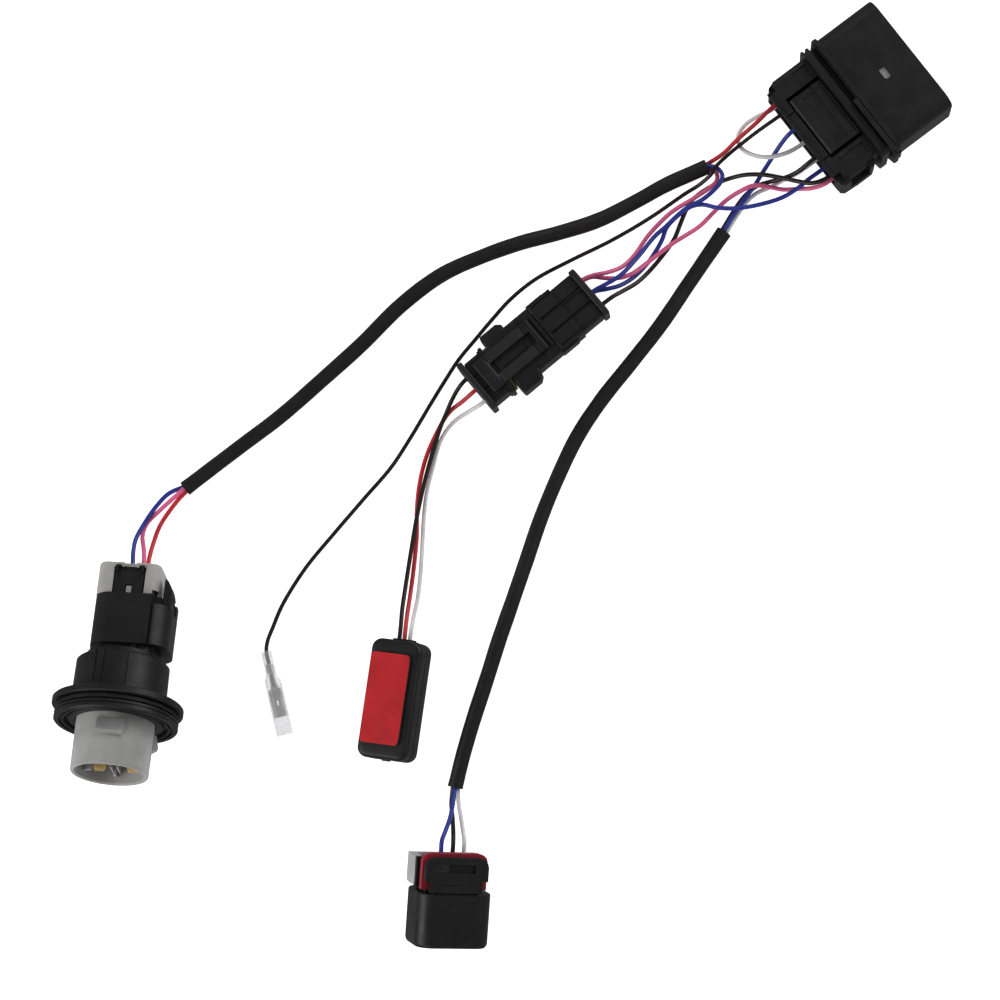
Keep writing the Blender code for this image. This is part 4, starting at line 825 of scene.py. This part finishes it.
def lamp_adapter():
    """The adapter half of the round connector: flange, groove and lip, and the grey tube with its blades."""
    piece("lamp_adapter_shell", loft([
        disc(51.8, LAMP_NOSE + 1.2), disc(38.8, LAMP_NOSE + 1.2), disc(38.8, LAMP_BODY - 1.4),
        disc(39.5, LAMP_BODY), disc(55.4, LAMP_BODY + 0.5), disc(55.4, LAMP_FLANGE - 0.8),
        disc(55.8, LAMP_FLANGE), disc(57.8, LAMP_FLANGE), disc(58.2, LAMP_FLANGE - 0.8),
        disc(58.2, LAMP_GROOVE), disc(60.8, LAMP_GROOVE), disc(60.8, LAMP_LIP - 0.6), disc(61.1, LAMP_LIP),
        disc(61.9, LAMP_LIP), disc(62.1, LAMP_LIP - 0.9), disc(62.5, LAMP_LIP - 0.9), disc(62.7, LAMP_LIP),
        disc(63.8, LAMP_LIP), disc(64.2, LAMP_LIP - 0.7),
        disc(64.2, 44.6), disc(63.2, 44.2), disc(63.2, 42.6), disc(64.0, 42.2), disc(64.0, 40.8),
        disc(62.4, 40.2), disc(62.4, 37.6), disc(63.4, 37.0), disc(63.4, LAMP_SOCKET + 0.8),
        disc(59.2, LAMP_SOCKET + 0.8),
    ], steps=16), "lamp_adapter", ["lamp_adapter_body"], welds=[
        body_rib(0.7, 0.5, -25.0), body_rib(0.7, 0.5, -14.0),
    ], cuts=[
        blade_slots(), turned(boxes((-0.3, 0.3, 38.0, 55.0, 17.9, 20.0)), -16.5),
    ], edge=0.18)
    tab = [(66.0, 14.6), (72.2, 14.6), (72.2, 16.5), (71.0, 16.9), (66.0, 15.6)]
    tabs = [turned(prism(tab, -5.2, 5.2, "X"), turn) for turn in (-4.0, -124.0)]
    keys = [
        turned(boxes((-0.6, 0.6, 63.0, 81.0, 9.6, 13.6)), turn) for turn in (60.0, 120.0, 180.0, 240.0, 300.0)
    ]
    piece("lamp_socket_tube", loft([
        disc(59.6, LAMP_SOCKET), disc(83.4, LAMP_SOCKET - 0.3), disc(LAMP_LENGTH, LAMP_SOCKET - 1.0),
        disc(LAMP_LENGTH, LAMP_BORE + 0.8), disc(83.4, LAMP_BORE), disc(63.4, LAMP_BORE - 0.4),
    ], steps=16), "lamp_adapter", ["lamp_adapter_socket"], "grey_plastic", welds=tabs,
        cuts=[blade_slots()], edge=0.2)
    piece("lamp_socket_keys", keys[0], "lamp_adapter", material="grey_plastic", welds=keys[1:], edge=0.15)
    piece("lamp_blade_holders", boxes(
        (1.4, 7.8, 63.0, 74.0, -5.0, -3.4), (-11.8, -5.4, 63.0, 74.0, -5.0, -3.4),
        (-2.2, -1.6, 63.0, 80.0, -11.8, -3.4), (0.4, 1.0, 63.0, 80.0, -11.8, -3.4),
    ), "lamp_adapter", material="grey_plastic", edge=0.15)


# ---- inline connector

INLINE_PLATE = (23.0, 17.0, 3.0)


def row_of_three(pitch):
    return [(-pitch, 0.0), (0.0, 0.0), (pitch, 0.0)]


def inline_pin_slots():
    return boxes(*[(x - 1.05, x + 1.05, 16.4, 37.0, -0.7, 0.7) for x, _ in row_of_three(5.0)])


def inline_connector():
    """The sealed three-way pair between the harness and the module, with its latch frame."""
    cavity = (16.4, 10.4, 2.8)
    ears = (29.0, 15.4, 4.0)
    body = (22.6, 15.0, 3.0)
    rear = (21.4, 14.0, 3.0)
    wire_hole = (17.8, 7.6, 2.0)
    piece("inline_cap_body", loft([
        (30.0, *cavity), (14.0, *cavity), (14.0, 27.6, 14.4, 3.6), (14.5, *ears), (22.4, *ears),
        (24.2, 26.0, 15.2, 3.6), (24.2, *body), (47.5, *body), (47.5, *rear), (57.2, *rear),
        (57.2, *wire_hole), (53.6, *wire_hole),
    ]), "harness", ["inline_cap_housing"], welds=[
        boxes((-2.5, 2.5, 12.3, 14.4, 7.7, 8.2), (-1.45, 1.45, 13.9, 25.6, 7.0, 8.1),
              (-7.4, 7.4, 34.0, 35.4, 7.0, 8.6), (-11.2, 11.2, 36.4, 47.4, 6.0, 7.7)),
        boxes(*both(2.6, 3.0, 37.4, 57.6, 6.6, 7.95), *both(11.0, 12.0, 36.0, 44.0, -3.0, 4.6)),
    ], cuts=[
        boxes(*both(3.0, 4.1, 37.4, 58.0, 6.3, 9.0)),
        boxes((-12.6, 12.6, 29.2, 29.7, 7.2, 9.0), *both(9.4, 9.9, 37.4, 57.6, 6.9, 9.0)),
        inline_pin_slots(),
    ], edge=0.25)
    piece("inline_cap_plate", loft([
        (57.6, 22.4, 16.4, 2.8), (57.9, *INLINE_PLATE), (59.8, *INLINE_PLATE), (60.2, 22.2, 16.2, 2.7),
    ]), "harness", ["inline_cap_cover"], "dark_plastic",
        cuts=[drills(row_of_three(6.2), 4.9, 56.0, 62.0)], edge=0.15)
    piece("inline_plug_body", loft([
        (5.8, 17.0, 7.0, 1.6), (2.8, 17.0, 7.0, 1.6), (2.8, 20.0, 14.0, 2.5), (9.6, 20.0, 14.0, 2.5),
        (9.6, 21.4, 15.0, 3.0), (10.5, 21.4, 15.0, 3.0), (10.5, 22.6, 16.0, 3.5), (12.0, 22.6, 16.0, 3.5),
        (12.0, 15.6, 9.6, 2.5), (28.0, 15.6, 9.6, 2.5),
    ]), "module_unit", ["inline_plug_housing"], cuts=[
        inline_pin_slots(),
        boxes(*both(2.9, 3.4, 2.4, 9.2, 6.3, 8.0), *both(8.0, 8.4, 2.4, 9.2, 6.5, 8.0)),
    ], edge=0.2)
    piece("inline_plug_plate", loft([
        (0.0, 22.2, 16.2, 2.7), (0.4, *INLINE_PLATE), (2.2, *INLINE_PLATE), (2.5, 22.4, 16.4, 2.8),
    ]), "module_unit", ["inline_plug_cover"], "dark_plastic",
        cuts=[drills(row_of_three(5.7), 2.7, -1.0, 4.0)], edge=0.15)
    piece("inline_latch_frame", prism([
        (5.0, 7.3), (8.8, 7.3), (10.8, 8.4), (32.8, 8.4), (32.8, 9.7), (32.2, 10.2), (11.2, 10.2),
        (9.2, 9.2), (5.4, 9.0), (5.0, 8.6),
    ], -7.1, 7.1, "X"), "inline_latch", ["inline_plug_latch"], cuts=[
        boxes((-2.6, 2.6, 10.4, 30.6, 7.0, 12.0)),
        boxes((-8.0, 8.0, 28.5, 28.9, 9.8, 12.0), *both(4.0, 4.4, 12.0, 28.0, 9.9, 12.0)),
    ], edge=0.2)
    piece("inline_latch_arms", boxes(*both(2.7, 6.9, 10.9, 28.3, 9.6, 10.45)), "inline_latch",
          material="dark_plastic")
    piece("inline_cap_line", boxes((-11.1, 11.1, 36.0, 36.45, 7.0, 7.95)), "harness",
          material="dark_plastic", edge=0.12)
    keep("inline_seal", "olive_seal", 0.3)
    for number in range(1, 4):
        keep(f"inline_pin_{number}", "tin")


# ---- control module

MODULE_WIDTH = 21.0
MODULE_LENGTH = 47.0
MODULE_CORNER = 4.0
# heights above the seam of the wall's end, the face's edge and the face's middle; inset of the round edge
MODULE_WALL = 5.2
MODULE_RIM = 7.24
MODULE_FACE = 7.3
MODULE_INSET = 1.9
MODULE_ROUND_STEPS = 5
LINER_LEVELS = (8.62, 8.86)


def case_rings(side, low_level):
    """Rings of one shell: straight walls, then a round edge of five steps, then an almost flat face."""
    rings = [(side * low_level, MODULE_WIDTH, MODULE_LENGTH, MODULE_CORNER)]
    for step in range(MODULE_ROUND_STEPS + 1):
        turn = math.pi / 2 * step / MODULE_ROUND_STEPS
        drop = MODULE_INSET * (1 - math.cos(turn))
        level = MODULE_WALL + (MODULE_RIM - MODULE_WALL) * math.sin(turn)
        width, length = MODULE_WIDTH - 2 * drop, MODULE_LENGTH - 2 * drop
        rings.append((side * level, width, length, MODULE_CORNER - drop * 0.6))
    rings.append((side * MODULE_FACE, MODULE_WIDTH - 8.0, MODULE_LENGTH - 8.0, 2.0))
    return rings


def module():
    """The potted module: two shells, the wires' lip, the foam tape and its liner."""
    inner = (MODULE_WIDTH - 2.6, MODULE_LENGTH - 2.6, MODULE_CORNER - 1.3)
    for name, node, side, low_level in (
        ("module_upper_shell", "module_case_top", 1, 0.25),
        ("module_lower_shell", "module_case_base", -1, 0.3),
    ):
        rings = [(side * 5.6, *inner), (side * low_level, *inner)]
        rings += case_rings(side, low_level)
        piece(name, loft(rings, steps=8, along="Z"), "module_unit", [node], cuts=[
            boxes((-2.9, 4.1, 20.0, 26.0, -1.4, 1.4)),
        ], edge=0.12)
    piece("module_strain_lip", loft([
        (22.9, 9.4, 4.6, 1.2, 0.6, 0.0), (24.3, 9.0, 4.2, 1.2, 0.6, 0.0), (24.3, 7.0, 2.6, 0.8, 0.6, 0.0),
        (22.9, 7.0, 2.8, 0.8, 0.6, 0.0),
    ], closed=True), "module_unit", edge=0.15)
    piece("module_seam_tab", boxes((-1.6, 1.6, -24.0, -23.3, -0.9, 0.9)), "module_unit", edge=0.2)
    liner = raw("module_liner_sheet", liner_sheet())
    liner.data.transform(unit_matrix("module"))
    liner.data.shade_smooth()
    liner.data.set_sharp_from_angle(angle=math.radians(LINER_SHARP_ANGLE))
    dressed(liner, "module_unit", "red_liner", ["module_tape_liner"])
    keep("module_foam_tape", "foam", 0.15)
    keep("module_board", "board_green")


def liner_sheet():
    """The tape's glossy liner: a thin sheet with a slight wave and rounded corners."""
    width, length, offset = 16.2, 35.6, -1.2
    corner_power, corner_cut, wave_height = 14, 0.5, 0.05
    builder = bmesh.new()
    across, down = 16, 36
    layers = []
    for base in LINER_LEVELS:
        grid = []
        for row in range(down + 1):
            line = []
            for column in range(across + 1):
                u, v = column / across * 2 - 1, row / down * 2 - 1
                x, y = u * width / 2, v * length / 2
                corner = max(0.0, abs(u) + abs(v) - 1.0) ** corner_power * corner_cut
                x -= math.copysign(corner, u) if u else 0.0
                y -= math.copysign(corner, v) if v else 0.0
                wave = wave_height * noise.noise(Vector((x * 0.12, y * 0.09, 3.0)))
                line.append(builder.verts.new((x + offset, y, base + wave)))
            grid.append(line)
        layers.append(grid)
    for grid in layers:
        for row in range(down):
            for column in range(across):
                here, below = grid[row], grid[row + 1]
                builder.faces.new((here[column], here[column + 1], below[column + 1], below[column]))
    rims = [
        [grid[0][c] for c in range(across + 1)] + [grid[r][across] for r in range(1, down + 1)]
        + [grid[down][c] for c in range(across - 1, -1, -1)] + [grid[r][0] for r in range(down - 1, 0, -1)]
        for grid in layers
    ]
    for index, corner in enumerate(rims[0]):
        after = (index + 1) % len(rims[0])
        builder.faces.new((corner, rims[0][after], rims[1][after], rims[1][index]))
    return builder


# ---- tail connector

def tail_connector():
    """The small three-way plug with its press pad, red hoop and grey lock."""
    core, side = (0.0, -1.5), (-0.7, 0.0)
    recess = (17.0, 8.0, 1.6, *core)
    neck = (22.0, 12.0, 2.5, *core)
    shell = (29.4, 23.0, 6.0, *side)
    mouth = (25.8, 19.0, 4.5, *side)
    tower = (16.0, 8.0, 2.0, *core)
    piece("tail_housing", loft([
        (7.8, *recess), (4.4, *recess), (4.4, *neck), (16.6, *neck), (16.6, 28.6, 22.2, 5.6, *side),
        (17.0, *shell), (35.8, *shell), (36.8, 29.0, 22.6, 5.9, *side), (37.6, 27.8, 21.4, 5.4, *side),
        (37.6, 26.2, 19.4, 4.7, *side), (36.6, *mouth), (20.0, *mouth), (20.0, *tower), (34.0, *tower),
    ], steps=10), "harness", ["tail_plug_housing"], welds=[
        boxes((-10.0, 10.0, 4.8, 16.8, 4.0, 4.9)),
    ], cuts=[
        drills([(-5.0, -1.5), (0.0, -1.5), (5.0, -1.5)], 2.6, 28.0, 36.0),
        boxes((-9.0, 9.0, 16.0, 17.2, 10.9, 12.4)),
    ], edge=0.25)
    piece("tail_tower_ribs", boxes(
        (-0.4, 0.4, 21.0, 33.0, 2.4, 3.4), *both(6.2, 7.0, 21.0, 33.0, 2.4, 3.2),
    ), "harness", edge=0.15)
    piece("tail_lock_yoke", prism([
        (-13.2, 2.6), (-13.2, -9.4), (14.2, -9.4), (14.2, 1.0), (11.5, 1.0), (11.5, -7.9), (-11.5, -7.9),
        (-11.5, 2.6),
    ], 3.2, 15.2, "Y"), "tail_lock", ["tail_plug_lock"], "light_grey_plastic", cuts=[
        prism([(-15.0, 15.6), (-15.0, 12.6), (-12.4, 15.6)], -12.0, 4.0),
        prism([(15.0, 15.6), (13.0, 15.6), (15.0, 13.4)], -12.0, 4.0),
    ], edge=0.5)
    piece("tail_cpa_hoop", prism([
        (-13.2, 15.4), (-13.2, 4.4), (-12.7, 2.9), (-11.5, 1.9), (-9.4, 1.2), (9.4, 1.2), (11.5, 1.9),
        (12.7, 2.9), (13.2, 4.4), (13.2, 15.4), (9.6, 15.4), (9.6, 12.4), (10.9, 12.4), (10.9, 4.8),
        (10.2, 3.6), (9.0, 3.0), (-9.0, 3.0), (-10.2, 3.6), (-10.9, 4.8), (-10.9, 12.4), (-9.6, 12.4),
        (-9.6, 15.4),
    ], 5.1, 7.5), "tail_cpa", ["tail_plug_cpa"], "red_plastic", edge=0.3)
    facet = prism([(3.1, 9.9), (6.4, 11.35), (6.4, 12.4), (3.1, 12.4)], 4.9, 8.5, "Y")
    piece("tail_latch_pad", prism([
        (-10.4, 16.2), (-10.4, 11.6), (-12.6, 11.6), (-12.6, 6.0), (-12.2, 4.6), (-11.2, 3.4), (-9.8, 2.7),
        (-8.4, 2.5), (8.4, 2.5), (9.8, 2.7), (11.2, 3.4), (12.2, 4.6), (12.6, 6.0), (12.6, 11.6),
        (10.4, 11.6), (10.4, 16.2),
    ], 8.7, 11.3), "tail_latch", ["tail_plug_latch"], cuts=[
        boxes((-7.4, 3.2, 4.9, 8.5, 10.0, 13.0)), facet, boxes((-6.6, 6.6, 13.0, 13.3, 11.05, 12.0)),
    ], edge=0.28)
    piece("tail_latch_step", prism([
        (-10.6, 6.2), (-10.4, 4.2), (-8.6, 3.0), (8.6, 3.0), (10.4, 4.2), (10.6, 6.2),
    ], 8.1, 8.8), "tail_latch", material="dark_plastic", edge=0.15)
    # painted highlight: a lighter sloped strip of dark plastic in the pad's facet stands in for the light
    # that the facet catches
    piece("tail_latch_facet", prism([(3.4, 10.3), (6.3, 11.2), (6.3, 11.45), (3.4, 11.0)], 5.1, 8.3, "Y"),
          "tail_latch", material="dark_plastic", edge=0.1)
    piece("tail_lock_lining", boxes((11.5, 14.0, 3.5, 15.0, 0.7, 2.6)), "tail_lock", edge=0.15)
    # painted highlight: a thin raised strip of lighter plastic along the window's rear edge stands in for the
    # bright line of light on that edge
    piece("tail_latch_ledge", boxes((-7.2, 3.2, 4.6, 4.95, 10.9, 11.5)), "tail_latch",
          material="dark_plastic", edge=0.1)
    keep("tail_wire_seal", "black_rubber")


# ---- lead terminal

def lead_end():
    """Returns the pieces on the end of the thin lead."""
    bore = (5.7, 4.1, 1.2)
    cover = piece("lead_boot", loft([
        (0.0, 4.4, 4.4, 2.0), (0.8, 4.2, 4.2, 1.9), (9.0, 4.2, 4.2, 1.8), (10.2, 4.9, 4.5, 1.8),
        (11.6, 6.4, 5.0, 1.7), (32.6, 6.6, 5.0, 1.6), (34.0, 6.6, 5.2, 1.6), (34.0, *bore), (12.0, *bore),
        (10.0, 3.9, 3.6, 1.3), (9.4, 3.4, 3.4, 1.2), (0.0, 3.4, 3.4, 1.2),
    ], closed=True), "harness", ["lead_terminal_cover"], "clear_vinyl", edge=0.12)
    receptacle = piece("lead_receptacle", loft([
        (15.4, 5.0, 0.8, 0.3, 0.0, -0.6), (26.6, 5.0, 0.8, 0.3, 0.0, -0.6),
    ]), "harness", ["lead_terminal"], "tin", welds=[
        loft([(15.4, 1.5, 1.5, 0.7, -1.85, 0.1), (26.6, 1.5, 1.5, 0.7, -1.85, 0.1)]),
        loft([(15.4, 1.5, 1.5, 0.7, 1.85, 0.1), (26.6, 1.5, 1.5, 0.7, 1.85, 0.1)]),
        loft([(9.6, 2.2, 1.6, 0.6), (12.6, 2.4, 1.6, 0.6), (15.6, 3.4, 1.0, 0.4, 0.0, -0.4)]),
        boxes((-0.7, 0.7, 16.6, 24.6, -0.4, 0.2)),
    ], cuts=[boxes((-0.35, 0.35, 20.0, 22.0, -1.4, 1.0))], edge=0.1)
    barrel = piece("lead_insulation_crimp", loft([
        (5.2, 2.7, 2.7, 1.1), (6.0, 2.8, 2.8, 1.1), (8.8, 2.8, 2.8, 1.1), (9.4, 2.2, 2.2, 0.9),
    ]), "harness", material="tin", edge=0.12)
    strand = piece("lead_strands", loft([
        (9.0, 1.5, 1.3, 0.6, 0.0, 0.3), (12.2, 1.6, 1.2, 0.6, 0.0, 0.4), (14.6, 1.2, 0.8, 0.4, 0.0, 0.3),
    ]), "harness", material="strand", edge=0.08)
    return [cover, receptacle, barrel, strand]


camera()
surroundings()
lead_pieces = lead_end()
wires()
main_connector()
lamp_connector()
inline_connector()
module()
tail_connector()
